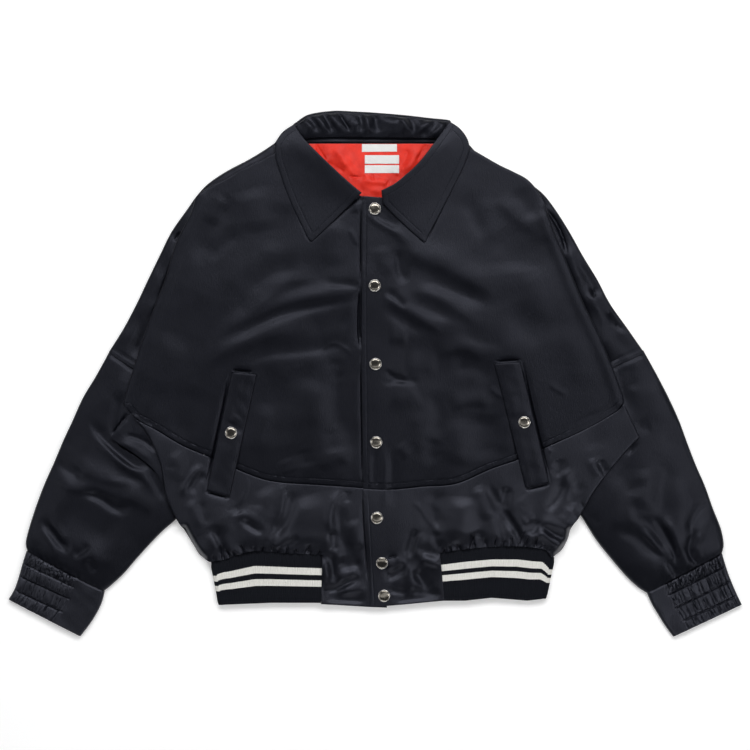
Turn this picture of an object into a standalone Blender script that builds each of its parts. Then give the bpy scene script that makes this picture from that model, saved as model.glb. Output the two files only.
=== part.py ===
"""A satin blouson jacket with a shirt collar and a snap front, lying flat on its back.

Sizes are in millimetres here and become metres when a piece is made. +X is the wearer's left, +Y runs
from the hem to the collar, and +Z is up from the surface that the jacket lies on.

The jacket is a stack of cloth pieces. The back lies on the surface. The sleeves, shoulder panels,
cuffs and hem band are hollow sections swept through named stations. The fronts are one faceted cloth
surface, draped over what lies under them and cut into panels; whatever lies on the fronts (pocket
welts, collar leaves, snaps) is made from the same surface, moved out.
"""

import math

import bmesh
import bpy
from mathutils import Vector
from mathutils.bvhtree import BVHTree
from mathutils.geometry import delaunay_2d_cdt

MM = 0.001
GAP = 0.3  # between neighbouring pieces
WALL = 1.6  # satin with its lining
EDGE_WALL = 3.0  # the same doubled, at a fold or a hem
LEAF_WALL = 2.0
KNIT_WALL = 2.4
LINING_WALL = 1.0
LABEL_WALL = 0.6
WELT_WALL = 2.6
FOLD_HEIGHT = 7.5  # of a pressed fold along a sleeve or shoulder
OVERLAP_RAISE = 2.1  # the left front over the right one
EDGE_BAND = 10.0  # width of a doubled edge
ROLL_BAND = 9.0  # over which a front turns down to the back at the side
LEAF_ROLL = 9.0  # rise of a collar leaf at its roll
LEAF_ROLL_BACK = 1.5  # and behind the shoulder, past this Y and over this length
LEAF_ROLL_FALLS = (305.0, 40.0)
LEAF_ROLL_REACH = 22.0
LEAF_CORNER_HEIGHT = 5.0  # where a leaf turns down behind the shoulder
NET_X, NET_Y = 18.0, 34.0  # spacing of the cloth surface's facets
SAMPLES = 4  # places tried along each side of a facet for what lies under it
OUTLINE_STEP = 20.0
SNAP_RADIUS = 8.7

RIGHT, LEFT = "right", "left"
SIDES = (RIGHT, LEFT)
OUTWARD = {RIGHT: -1.0, LEFT: 1.0}  # the direction of X away from the front's middle

# ---------------------------------------------------------------- outlines, seen from above (x, y)

# The edge of each front that lies over the shoulder panel and sleeve, from the neck out and down.
SHOULDER_LINE = {
    RIGHT: [(-116, 321), (-144, 307), (-191, 283), (-241, 255)],
    LEFT: [(116, 324), (134, 314), (174, 291), (211, 272), (230, 249)],
}
ARMHOLE_FOLD = {
    RIGHT: [(-251, 246), (-258, 223), (-278, 183), (-292, 136), (-312, 83), (-330, 31), (-352, -41)],
    LEFT: [(239, 227), (254, 186), (267, 155), (290, 99), (314, 49), (331, 8), (346, -34)],
}
# The yoke seam, from the armhole to the front edge.
YOKE = {
    RIGHT: [(-346, -49), (-334, -62), (-302, -80), (-267, -101), (-231, -116), (-171, -142), (-133, -151),
            (-58, -156), (-18, -159), (16, -160)],
    LEFT: [(346, -41), (340, -49), (312, -67), (287, -80), (234, -104), (197, -120), (162, -132),
           (112, -153), (66, -157), (24, -161), (-17, -160)],
}
# The lower front's folded edge over the sleeve, in smooth stretches, then its side over the back.
UNDERARM_FOLD = {
    RIGHT: [[(-334, -63), (-318, -83), (-306, -107), (-298, -130), (-291, -171), (-280, -197)]],
    LEFT: [[(346, -41), (368, -88)], [(368, -88), (349, -108), (323, -139), (300, -171), (286, -196)]],
}
BODY_SIDE = {
    RIGHT: [(-275, -205), (-265, -221), (-255, -238), (-243, -255)],
    LEFT: [(282, -202), (274, -212), (269, -230), (257, -249)],
}
SIDE_PINNED = {  # the stretch of the side that turns down onto the back
    RIGHT: [(-267, -216), (-255, -238), (-243, -255), (-240, -258)],
    LEFT: [(272, -219), (269, -230), (257, -249), (253, -253)],
}
HEM_SEAM = {
    RIGHT: [(-231, -262), (-208, -258), (-171, -247), (-121, -250), (-74, -252)],
    LEFT: [(246, -256), (237, -245), (200, -240), (162, -241), (125, -244), (90, -250)],
}
TAB_HEM = {RIGHT: [(-76, -321), (-10, -325), (16, -326)], LEFT: [(96, -316), (34, -322), (-7, -325)]}
FRONT_EDGE = {
    RIGHT: [(16, -326), (16, -160), (16, 243)],
    LEFT: [(-7, -325), (-9, -247), (-16, -177), (-17, -102), (-19, 48), (-18, 248)],
}
NECK_EDGE = {
    RIGHT: [(-22, 249), (-56, 268), (-84, 295), (-104, 320)],
    LEFT: [(9, 246), (36, 258), (68, 287), (93, 320)],
}
# Collar leaves: the roll from the shoulder to the front, the front edge, then the outer edge back.
LEAF_ROLL_LINE = {
    RIGHT: [(-113, 349), (-96, 324), (-47, 276), (-19, 252)],
    LEFT: [(103, 353), (83, 324), (59, 293), (27, 265), (8, 255)],
}
LEAF_FRONT_EDGE = {RIGHT: [(-19, 252), (-29, 242), (-86, 186)], LEFT: [(8, 255), (10, 237), (64, 185)]}
LEAF_POINT = {RIGHT: [(-89, 184), (-93, 187)], LEFT: [(67, 183), (70, 184)]}
LEAF_OUTER_EDGE = {
    RIGHT: [(-95, 191), (-120, 244), (-139, 300), (-141, 321), (-130, 337), (-113, 349)],
    LEFT: [(71, 187), (94, 232), (122, 288), (132, 314), (128, 328), (118, 342), (103, 353)],
}
UNDERARM_GUSSET = [(-336, -52), (-347, -60), (-369, -88), (-360, -95), (-329, -116), (-306, -137),
                   (-297, -153), (-283, -150), (-290, -112), (-312, -72)]
LINING = [(-97, 322), (84, 322), (62, 284), (30, 243), (-22, 236), (-62, 264)]
WELT = {
    RIGHT: [(-165, 0), (-200, 3), (-235, -162), (-203, -171)],
    LEFT: [(165, 15), (202, 17), (242, -151), (209, -159)],
}
LABELS = {
    "neck_label_top": [(-19, 310.5), (30, 311), (30, 321.5), (-19, 321.5)],
    "neck_label_middle": [(-15, 294), (33, 294), (33, 306), (-15, 306)],
    "neck_label_bottom": [(-15, 281), (33, 281), (33, 292), (-15, 292)],
}
SNAPS = [(-1, 230), (-1, 123), (0, 14), (1, -95), (2, -200), (9, -263), (12, -309)]
WELT_SNAP = {RIGHT: (-201, -82), LEFT: (207, -67)}

# ---------------------------------------------------------------- stations of the swept pieces

# Sleeve, from the cuff to the armhole: outer edge, inner edge, and how far the top domes up.
SLEEVE = {
    RIGHT: [
        (-487, -247, -379, -303, 4), (-489, -235, -368, -294, 8), (-484, -214, -352, -279, 10),
        (-475, -186, -333, -257, 9), (-463, -154, -312, -234, 9), (-450, -125, -296, -218, 8),
        (-437, -94, -280, -204, 7), (-424, -66, -266, -187, 5), (-409, -33, -250, -160, 4),
        (-391, -3, -240, -106, 3.5), (-373, 30, -246, -55, 1.5),
    ],
    LEFT: [
        (484, -249, 379, -305, 4), (486, -237, 367, -297, 8), (482, -216, 351, -282, 10),
        (471, -188, 332, -260, 9), (460, -157, 311, -234, 9), (447, -127, 298, -214, 8),
        (435, -96, 288, -198, 7), (424, -66, 272, -178, 5), (410, -35, 258, -150, 4),
        (393, -2, 246, -90, 3.5), (376, 29, 246, -28, 1.5),
    ],
}
# Cuff, from the sleeve to its open end: outer edge, inner edge, dome.
CUFF = {
    RIGHT: [(-487.3, -247.8, -379.3, -303.8, 3), (-493, -266, -383, -318, 2), (-498, -284, -390, -333, 1),
            (-504, -301, -400, -349, 1), (-512, -315, -413, -366, 2)],
    LEFT: [(484.3, -249.8, 379.3, -305.8, 3), (490, -269, 386, -321, 2), (496, -286, 395, -336, 1),
           (504, -305, 405, -352, 1), (512, -322, 416, -367, 2)],
}
# Shoulder panel, from the collar to the sleeve: outer edge, then how far the top reaches in.
SHOULDER = {
    RIGHT: [
        (-131, 330, -112, 312), (-154, 314, -142, 291), (-177, 300, -166, 277), (-209, 283, -199, 257),
        (-234, 266, -219, 243), (-250, 249, -231, 236), (-262, 232, -238, 219), (-285, 199, -257, 186),
        (-302, 165, -267, 150), (-318, 132, -279, 114), (-334, 98, -292, 77), (-352, 64, -304, 38),
        (-373, 30.5, -317, -6.5),
    ],
    LEFT: [
        (127, 325, 115, 306), (143, 308, 134, 290), (163, 294, 150, 272), (186, 283, 175, 261),
        (211, 269, 198, 247), (232, 254, 212, 237), (250, 232, 222, 220), (271, 199, 242, 186),
        (290, 165, 254, 150), (310, 132, 269, 112), (328, 98, 280, 75), (352, 64, 298, 38),
        (376, 29.5, 316, 3.2),
    ],
}
SHOULDER_UNDER_REACH = 12.0  # of the shoulder panel beneath, in from the outer edge
BACK_NECK = 326.2  # Y of the back's neck edge
ROLL_SEAM_FALL = -3.2  # of the roll's inner face where it meets the neck seam
# Back roll of the collar: its outer fold, X at the neck seam, and how far it puffs up.
COLLAR_ROLL = [
    (-111, 352, -94, 4), (-93, 363, -78, 7), (-59, 368, -50, 6), (-28, 367, -24, 8), (-1, 365.5, -1, 5),
    (41, 362, 36, 8), (76, 358, 66, 6), (101, 355.5, 81, 4),
]
HEM_BAND = {  # the band's outline at each side: at its seam, at its free edge, then its front end
    RIGHT: {"side": [(-229, -262), (-218, -322)], "end": [(-74.6, -252), (-76.6, -321)]},
    LEFT: {"side": [(249, -256), (237, -313)], "end": [(90.6, -250), (96.6, -316)]},
}
HEM_BAND_FREE_EDGE = {
    RIGHT: [(-76, -319), (-146, -319), (-218, -322)],
    LEFT: [(99, -316), (125, -316), (162, -312), (212, -316), (237, -313)],
}
HEM_BAND_BACK_SEAM = -255.3
HEM_BAND_BACK_FREE = {RIGHT: -316.0, LEFT: -309.0}
HEM_LAP = 4.0  # of the gathered satin over the band
HEM_JOINT = 0.012  # where the band's lengths meet beneath, as a part of its width from each side
HEM_JOINT_GAP = 0.0007  # between the lengths there, in the same measure
BAND_FRONT_Z = 8.6  # middle of the band's wall, in front
BAND_BACK_Z = KNIT_WALL / 2

# ---------------------------------------------------------------- the cloth surface of the fronts

LOFT = [  # y, height of the fronts' upper face over the surface
    (-330, 10.5), (-290, 11.0), (-258, 12.5), (-218, 19.0), (-165, 16.0), (-60, 16.0), (60, 17.0),
    (180, 15.0), (260, 13.0), (340, 10.0),
]
FOLDS = [  # start x, y, end x, y, half width, height: ridges are positive and troughs negative
    (-42, 20, -40, -100, 15, -3.5),
    (-52, -112, -50, -152, 16, 3.5),
    (-30, 130, -200, 20, 26, 3.0),
    (-40, 60, -190, -60, 26, -3.0),
    (-60, 200, -230, 110, 24, 2.5),
    (40, 110, 200, 30, 26, 3.0),
    (40, 40, 160, -60, 26, -3.0),
    (60, 190, 220, 110, 24, 2.5),
    (-130, -162, -126, -240, 12, 4.0),
    (-98, -165, -100, -240, 12, -3.5),
    (-58, -162, -60, -240, 13, 3.5),
    (-168, -190, -160, -244, 11, 3.5),
    (-146, -200, -146, -244, 10, -3.0),
    (-222, -180, -214, -244, 13, 3.0),
    (180, -165, 204, -238, 12, 4.0),
    (208, -170, 226, -232, 11, -3.5),
    (236, -190, 250, -230, 11, 3.0),
    (60, -175, 70, -238, 12, -3.0),
    (110, -170, 118, -236, 13, 3.5),
    (144, -180, 152, -236, 11, -3.0),
    (300, -120, 318, -134, 11, -2.5),
]
SLEEVE_FOLDS = [
    (-400, -150, -330, -60, 14, -3.0),
    (-440, -150, -360, -200, 15, -3.0),
    (-420, -110, -330, -170, 15, 2.5),
    (-470, -225, -400, -275, 11, -4.0),
    (-372, -60, -410, -100, 13, 2.5),
    (430, -215, 395, -275, 13, -3.5),
    (455, -215, 440, -260, 12, 3.0),
    (330, -130, 400, -200, 15, -2.5),
    (345, -60, 420, -110, 15, 2.5),
]
LINING_FOLDS = [(-50, 316, -30, 262, 12, 2.5), (60, 312, 40, 262, 12, 2.0), (-78, 316, -55, 285, 9, 2.0)]


def between(a, b, part):
    """The value, or point, that lies part of the way from a to b."""
    if isinstance(a, (int, float)):
        return a + (b - a) * part
    return tuple(between(p, q, part) for p, q in zip(a, b))


def smooth(part):
    part = min(max(part, 0.0), 1.0)
    return part * part * (3 - 2 * part)


def from_table(rows, key):
    """Second column of a table at a value of its first, with straight lines between the rows."""
    rows = sorted(rows)
    key = min(max(key, rows[0][0]), rows[-1][0])
    for low, high in zip(rows, rows[1:]):
        if key <= high[0]:
            return between(low[1], high[1], (key - low[0]) / (high[0] - low[0]))
    return rows[-1][1]


def to_segment(x, y, ax, ay, bx, by):
    """Distance from (x, y) to a segment, and how far along the segment the nearest place is."""
    dx, dy = bx - ax, by - ay
    along = ((x - ax) * dx + (y - ay) * dy) / max(dx * dx + dy * dy, 1e-9)
    held = min(max(along, 0.0), 1.0)
    return math.hypot(x - ax - dx * held, y - ay - dy * held), along


def to_line(x, y, line):
    return min(to_segment(x, y, *a, *b)[0] for a, b in zip(line, line[1:]))


def fold_height(x, y, folds):
    """Sum of the soft ridges and troughs at a place; each fades out past its ends."""
    total = 0.0
    for ax, ay, bx, by, half_width, height in folds:
        far, _ = to_segment(x, y, ax, ay, bx, by)
        total += height * math.exp(-((far / half_width) ** 2))
    return total


def curve(points, step=OUTLINE_STEP):
    """A smooth line through the points, as places about a step apart."""
    ends = [points[0], *points, points[-1]]
    line = []
    for before, start, end, after in zip(ends, ends[1:], ends[2:], ends[3:]):
        count = max(1, round(math.dist(start, end) / step))
        for k in range(count):
            t = k / count
            line.append(tuple(
                0.5 * (2 * s + (e - b) * t + (2 * b - 5 * s + 4 * e - a) * t * t
                       + (3 * s - b - 3 * e + a) * t ** 3)
                for b, s, e, a in zip(before, start, end, after)
            ))
    return [*line, tuple(map(float, points[-1]))]


def joined(stretches):
    """Smooth lines that meet at corners, as one line."""
    return [p for line in stretches[:-1] for p in curve(line)[:-1]] + curve(stretches[-1])


def inset_line(line, distance):
    """The line moved sideways, to its left."""
    moved = []
    for k, (x, y) in enumerate(line):
        ax, ay = line[max(k - 1, 0)]
        bx, by = line[min(k + 1, len(line) - 1)]
        length = math.hypot(bx - ax, by - ay)
        moved.append((x - (by - ay) / length * distance, y + (bx - ax) / length * distance))
    return moved


def inside(x, y, outline):
    crossings = 0
    for (ax, ay), (bx, by) in zip(outline, [*outline[1:], outline[0]]):
        if (ay > y) != (by > y) and x < ax + (y - ay) / (by - ay) * (bx - ax):
            crossings += 1
    return crossings % 2 == 1


# ---------------------------------------------------------------- making solids


def material(name, colour, roughness, metallic=0.0):
    """A Principled material, one for each object."""
    made = bpy.data.materials.new(name)
    made.use_nodes = True
    shader = made.node_tree.nodes["Principled BSDF"]
    shader.inputs["Base Color"].default_value = (*colour, 1.0)
    shader.inputs["Roughness"].default_value = roughness
    shader.inputs["Metallic"].default_value = metallic
    made.diffuse_color = (*colour, 1.0)
    return made


FINISH = {
    "satin": ((0.012, 0.014, 0.022), 0.38),
    "knit": ((0.008, 0.009, 0.014), 0.85),
    "lining": ((0.78, 0.045, 0.02), 0.5),
    "label": ((0.8, 0.8, 0.8), 0.7),
    "nickel": ((0.62, 0.62, 0.64), 0.2, 1.0),
}


def make(name, finish, points, faces):
    """A named object from points in millimetres, with its faces turned outward."""
    mesh = bpy.data.meshes.new(name)
    mesh.from_pydata([Vector(p) * MM for p in points], [], faces)
    shape = bmesh.new()
    shape.from_mesh(mesh)
    bmesh.ops.remove_doubles(shape, verts=shape.verts, dist=1e-7)
    bmesh.ops.triangulate(shape, faces=[f for f in shape.faces if len(f.verts) > 4])
    bmesh.ops.recalc_face_normals(shape, faces=shape.faces)
    shape.to_mesh(mesh)
    shape.free()
    made = bpy.data.objects.new(name, mesh)
    made.data.materials.append(material(name, *FINISH[finish]))
    bpy.context.scene.collection.objects.link(made)
    return made


def cut(outline, net, lines=()):
    """A flat outline divided along the net's lines: its points and its triangles."""
    points = [Vector(p) for p in outline]
    edges = [(k, (k + 1) % len(points)) for k in range(len(points))]

    def add(line):
        start = len(points)
        points.extend(Vector(p) for p in line)
        edges.extend((start + k, start + k + 1) for k in range(len(line) - 1))

    for line in lines:
        add(line)
    low_x, high_x = min(x for x, _ in outline), max(x for x, _ in outline)
    low_y, high_y = min(y for _, y in outline), max(y for _, y in outline)
    columns = range(math.floor(low_x / net.x) + 1, math.ceil(high_x / net.x))
    rows = range(math.floor(low_y / net.y) + 1, math.ceil(high_y / net.y))
    for i in columns:
        add([(i * net.x, low_y - 1), (i * net.x, high_y + 1)])
    for j in rows:
        add([(low_x - 1, j * net.y), (high_x + 1, j * net.y)])
    first = math.floor(low_y / net.y - high_x / net.x)
    last = math.ceil(high_y / net.y - low_x / net.x)
    for k in range(first, last + 1):
        add([(x, (x / net.x + k) * net.y) for x in (low_x - 1, high_x + 1)])
    places, _, triangles, *_ = delaunay_2d_cdt(points, edges, [], 0, 0.002)
    kept = []
    for triangle in triangles:
        x, y = (sum(places[n][axis] for n in triangle) / 3 for axis in (0, 1))
        if inside(x, y, outline):
            kept.append(triangle)
    used = sorted({n for triangle in kept for n in triangle})
    place = {n: k for k, n in enumerate(used)}
    return [tuple(places[n]) for n in used], [tuple(place[n] for n in t) for t in kept]


def sheet(name, finish, outline, net, wall, upper=None, lines=()):
    """A piece of cloth cut from a net: its upper face, the same face lowered, and a rim."""
    places, triangles = cut(outline, net, lines)
    upper = upper or net.height
    thick = wall if callable(wall) else lambda x, y: wall
    count = len(places)
    top = [(x, y, upper(x, y)) for x, y in places]
    points = top + [(x, y, z - thick(x, y)) for x, y, z in top]
    every = {edge for t in triangles for edge in ((t[0], t[1]), (t[1], t[2]), (t[2], t[0]))}
    rim = [(a, b) for a, b in every if (b, a) not in every]
    faces = [*triangles, *[(c + count, b + count, a + count) for a, b, c in triangles]]
    for a, b in rim:
        faces += [(b, a, a + count), (b, a + count, b + count)]
    return make(name, finish, points, faces)


def sweep(name, finish, sections, tube=False):
    """A solid swept through sections, each a ring of points.

    A tube's sections are pairs of rings, its outer and its inner face, and its two ends stay open.
    """
    points, faces = [], []

    def skin(rings):
        start, count = len(points), len(rings[0])
        for ring in rings:
            points.extend(ring)
        for s in range(len(rings) - 1):
            for k in range(count):
                a, b = start + s * count + k, start + s * count + (k + 1) % count
                faces.extend([(a, b, b + count), (a, b + count, a + count)])
        last = start + (len(rings) - 1) * count
        return range(start, start + count), range(last, last + count)

    if not tube:
        first, last = skin(sections)
        faces += [tuple(first), tuple(last)]
        return make(name, finish, points, faces)
    outer_ends = skin([outer for outer, _ in sections])
    inner_ends = skin([inner for _, inner in sections])
    for outer, inner in zip(outer_ends, inner_ends):
        for k in range(len(outer)):
            n = (k + 1) % len(outer)
            faces.append((outer[k], outer[n], inner[n], inner[k]))
    return make(name, finish, points, faces)


# ---------------------------------------------------------------- the swept pieces

TOP_STOPS = (0.1, 0.26, 0.42, 0.58, 0.74, 0.9)  # across a sleeve, where its upper face has a point


def tube_ring(station, wall, folds):
    """One ring of a flattened sleeve: flat beneath, folded at both edges, domed on top."""
    ox, oy, ix, iy, dome = station
    radius = FOLD_HEIGHT / 2
    width = math.hypot(ix - ox, iy - oy)
    turn = radius - wall
    ring = [(radius, wall), (width - radius, wall)]
    ring += [(width - radius + turn * math.cos(math.radians(a)), radius + turn * math.sin(math.radians(a)))
             for a in (-35, 35)]
    ring += [(width * (1 - stop), None) for stop in TOP_STOPS]
    ring += [(radius - turn * math.cos(math.radians(a)), radius + turn * math.sin(math.radians(a)))
             for a in (35, -35)]
    placed = []
    for across, z in ring:
        x, y = between((ox, oy), (ix, iy), across / width)
        if z is None:
            arch = math.sin(math.pi * across / width)
            z = FOLD_HEIGHT - wall + (dome + fold_height(x, y, folds) * smooth(dome / 4)) * arch ** 0.7
        placed.append((x, y, z))
    return placed


def tube_sections(stations, wall, folds):
    return [(tube_ring(s, 0.0, folds), tube_ring(s, wall, folds)) for s in stations]


def fold_section(outer, reach_top, reach_under, wall, rise=0.0, puff=0.0):
    """A strip folded round an edge: the upper leg reaches in to one place, the lower leg to another."""
    radius = FOLD_HEIGHT / 2
    width = math.hypot(reach_top[0] - outer[0], reach_top[1] - outer[1])
    angles = [math.radians(a) for a in (-90, -40, 40, 90)]
    round_out = [(radius - radius * math.cos(a), radius + radius * math.sin(a)) for a in angles]
    round_in = [(radius - (radius - wall) * math.cos(a), radius + (radius - wall) * math.sin(a))
                for a in reversed(angles)]
    top = FOLD_HEIGHT
    upper = [(width * 0.35, top + puff), (width * 0.7, top + puff), (width, top + rise)]
    lower = [(width, top + rise - wall), (width * 0.7, top + puff - wall), (width * 0.35, top + puff - wall)]
    section = [(reach_under, 0.0), *round_out, *upper, *lower, *round_in, (reach_under, wall)]
    return [(*between(outer, reach_top, across / width), z) for across, z in section]


def shoulder_under_line(side):
    """Where the shoulder panel ends beneath, from the collar to the sleeve."""
    line = []
    for x, y, ix, iy in SHOULDER[side]:
        part = SHOULDER_UNDER_REACH / math.hypot(ix - x, iy - y)
        line.append(between((x, y), (ix, iy), part))
    return line


def make_shoulder(side):
    sections = [
        fold_section((x, y), (ix, iy), SHOULDER_UNDER_REACH, WALL) for x, y, ix, iy in SHOULDER[side]
    ]
    return sweep(f"shoulder_{side}", "satin", sections)


def make_collar_roll():
    neck_y = BACK_NECK + GAP
    sections = [
        fold_section((x, y), (sx, neck_y), math.hypot(sx - x, neck_y - y), LEAF_WALL, ROLL_SEAM_FALL, puff)
        for x, y, sx, puff in COLLAR_ROLL
    ]
    return sweep("collar_roll", "satin", sections)


def seam_y(side, x):
    return from_table(HEM_SEAM[side], x)


def make_hem_band():
    """One strip of rib knit in three lengths: each front with its turn at the side, and the back."""
    half = KNIT_WALL / 2
    turn = (BAND_FRONT_Z - BAND_BACK_Z) / 2
    middle = (BAND_FRONT_Z + BAND_BACK_Z) / 2
    inset = turn + half
    made = []

    def station(top, free, normal, z):
        """A strip's section: its seam edge and free edge, thickened along a normal in X and Z."""
        nx, nz = normal
        return [
            (x + nx * k, y, z + nz * k) for x, y, k in
            ((*top, half), (*free, half), (*free, -half), (*top, -half))
        ]

    def front(side, part):
        (ex, ey), (fx, fy) = HEM_BAND[side]["end"]
        (sx, _), (tx, _) = HEM_BAND[side]["side"]
        in_from_side = -OUTWARD[side] * inset
        x_top, x_free = between(ex, sx + in_from_side, part), between(fx, tx + in_from_side, part)
        y_top = seam_y(side, x_top) + HEM_LAP * smooth((1 - part) * 8 + 0.4)
        y_free = from_table(HEM_BAND_FREE_EDGE[side], x_free)
        return station((x_top, y_top), (x_free, y_free), (0, 1), BAND_FRONT_Z)

    def side_turn(side, angle):
        (sx, sy), (tx, ty) = HEM_BAND[side]["side"]
        out = OUTWARD[side]
        c, s = math.cos(math.radians(angle)), math.sin(math.radians(angle))
        shift = -out * inset + out * turn * c
        return station((sx + shift, sy), (tx + shift, ty), (out * c, s), middle + turn * s)

    def beneath(part):
        """A section of the flat strip under the jacket, from 0 at the right side to 1 at the left."""
        (rx, _), (rfx, _) = HEM_BAND[RIGHT]["side"]
        (lx, _), (lfx, _) = HEM_BAND[LEFT]["side"]
        free_edge = between(HEM_BAND_BACK_FREE[RIGHT], HEM_BAND_BACK_FREE[LEFT], part)
        return station(
            (between(rx + inset, lx - inset, part), HEM_BAND_BACK_SEAM),
            (between(rfx + inset, lfx - inset, part), free_edge),
            (0, -1), BAND_BACK_Z,
        )

    joint = HEM_JOINT_GAP / 2
    for side, edge in ((RIGHT, 0.0), (LEFT, 1.0)):
        sections = [front(side, k / 6) for k in range(7)]
        sections += [side_turn(side, angle) for angle in (50, 0, -50)]
        inward = 1.0 if side == RIGHT else -1.0
        sections.append(beneath(edge + inward * (HEM_JOINT - joint)))
        made.append(sweep(f"hem_rib_{side}", "knit", sections))
    low, high = HEM_JOINT + joint, 1.0 - HEM_JOINT - joint
    made.append(sweep("hem_rib_back", "knit", [beneath(between(low, high, k / 4)) for k in range(5)]))
    return made


# ---------------------------------------------------------------- cloth surfaces


class Net:
    """A height at each crossing of a net of lines, and flat facets between them."""

    def __init__(self, rule, divide=1):
        self.x, self.y = NET_X / divide, NET_Y / divide
        self.rule = rule
        self.known = {}

    def corner(self, i, j):
        if (i, j) not in self.known:
            self.known[i, j] = self.rule(i * self.x, j * self.y)
        return self.known[i, j]

    def height(self, x, y):
        fx, fy = x / self.x, y / self.y
        i, j = math.floor(fx), math.floor(fy)
        u, v = fx - i, fy - j
        start, end = self.corner(i, j), self.corner(i + 1, j + 1)
        if u >= v:
            other = self.corner(i + 1, j)
            return start + u * (other - start) + v * (end - other)
        other = self.corner(i, j + 1)
        return start + v * (other - start) + u * (end - other)


class Pile:
    """What already lies under a piece."""

    def __init__(self):
        self.trees = []

    def add(self, made):
        mesh = made.data
        self.trees.append(BVHTree.FromPolygons(
            [v.co / MM for v in mesh.vertices], [tuple(p.vertices) for p in mesh.polygons]))
        return made

    def top(self, x, y):
        hits = [tree.ray_cast(Vector((x, y, 200)), Vector((0, 0, -1)))[0] for tree in self.trees]
        return max((hit.z for hit in hits if hit), default=0.0)

    def top_near(self, x, y, reach_x, reach_y):
        """The highest place within reach of (x, y)."""
        stops = [k / SAMPLES for k in range(-SAMPLES, SAMPLES + 1)]
        return max(self.top(x + a * reach_x, y + b * reach_y) for a in stops for b in stops)


def front_rule(pile):
    """Height of the right front: its own loft and folds, but always clear of the pile."""

    def rule(x, y):
        own = from_table(LOFT, y) + fold_height(x, y, FOLDS)
        return max(own, pile.top_near(x, y, NET_X, NET_Y) + GAP + EDGE_WALL)

    return rule


def raised_rule(right_net):
    """The left front: the same surface, raised where it laps over the right one."""

    def rule(x, y):
        return right_net.height(x, y) + OVERLAP_RAISE * (1 - smooth((x - 2 * NET_X) / (3 * NET_X)))

    return rule


def leaf_rule(front_net, pile, side):
    """A collar leaf: on the front, or on the shoulder behind it, rising toward its roll."""
    roll = curve(LEAF_ROLL_LINE[side])
    step_x, step_y = NET_X / 2, NET_Y / 2

    def over_neck(x, y):
        """Whether a place is past the roll, on the side of the neck opening."""
        (ax, ay), (bx, by) = min(zip(roll, roll[1:]), key=lambda s: to_segment(x, y, *s[0], *s[1])[0])
        return ((bx - ax) * (y - ay) - (by - ay) * (x - ax)) * OUTWARD[side] < 0

    def rule(x, y):
        past_roll = over_neck(x, y)
        near_front = any(
            inside(x + a * step_x, y + b * step_y, FRONT_OUTLINE[side])
            for a in (-1, -0.5, 0, 0.5, 1) for b in (-1, -0.5, 0, 0.5, 1)
        )
        carried = front_net.height(x, y) if near_front or past_roll else LEAF_CORNER_HEIGHT
        carried = max(carried, pile.top_near(x, y, step_x, step_y))
        far = 0.0 if past_roll else to_line(x, y, roll)
        rise = between(LEAF_ROLL, LEAF_ROLL_BACK, smooth((y - LEAF_ROLL_FALLS[0]) / LEAF_ROLL_FALLS[1]))
        return carried + GAP + LEAF_WALL + rise * math.exp(-far / LEAF_ROLL_REACH)

    return rule


def outline_of_upper(side):
    outer = [*curve(SHOULDER_LINE[side]), *curve(ARMHOLE_FOLD[side])]
    seam = [(x, y + GAP / 2) for x, y in curve(YOKE[side])]
    edge = [p for p in curve(FRONT_EDGE[side], 60) if p[1] > seam[-1][1] + 1]
    neck = curve(NECK_EDGE[side])
    return [*outer, *seam, *edge, *neck]


def outline_of_lower(side):
    seam = [(x, y - GAP / 2) for x, y in reversed(curve(YOKE[side]))]
    if side == RIGHT:
        seam = [p for p in seam if p[0] > UNDERARM_FOLD[RIGHT][0][0][0] + 1]
    fold = joined(UNDERARM_FOLD[side])[1 if side == LEFT else 0:]
    body_side = curve(BODY_SIDE[side])
    hem = curve(HEM_SEAM[side])
    tab = curve(TAB_HEM[side])
    edge = [p for p in curve(FRONT_EDGE[side], 60)[1:] if p[1] < seam[0][1] - 1]
    return [*seam, *fold, *body_side, *hem, *tab, *edge]


FRONT_OUTLINE = {side: outline_of_upper(side) for side in SIDES}
LEAF_OUTLINE = {
    side: [
        *curve(LEAF_ROLL_LINE[side])[:-1], *curve(LEAF_FRONT_EDGE[side])[:-1], *LEAF_POINT[side],
        *curve(LEAF_OUTER_EDGE[side])[:-1],
    ]
    for side in SIDES
}


def front_wall(side):
    """A front is doubled along its folded edge."""
    folds = [curve(SHOULDER_LINE[side]), curve(ARMHOLE_FOLD[side]), joined(UNDERARM_FOLD[side])]

    def wall(x, y):
        far = min(to_line(x, y, line) for line in folds)
        return WALL + (EDGE_WALL - WALL) * (1 - smooth(far / EDGE_BAND))

    return wall


def lower_height(side, net):
    """The lower front's upper face, which turns down at the side to meet the back."""
    pinned = curve(SIDE_PINNED[side])
    edge_height = WALL + GAP + WALL

    def height(x, y):
        part = smooth(to_line(x, y, pinned) / ROLL_BAND) ** 0.5
        return between(edge_height, net.height(x, y), part)

    return height


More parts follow.
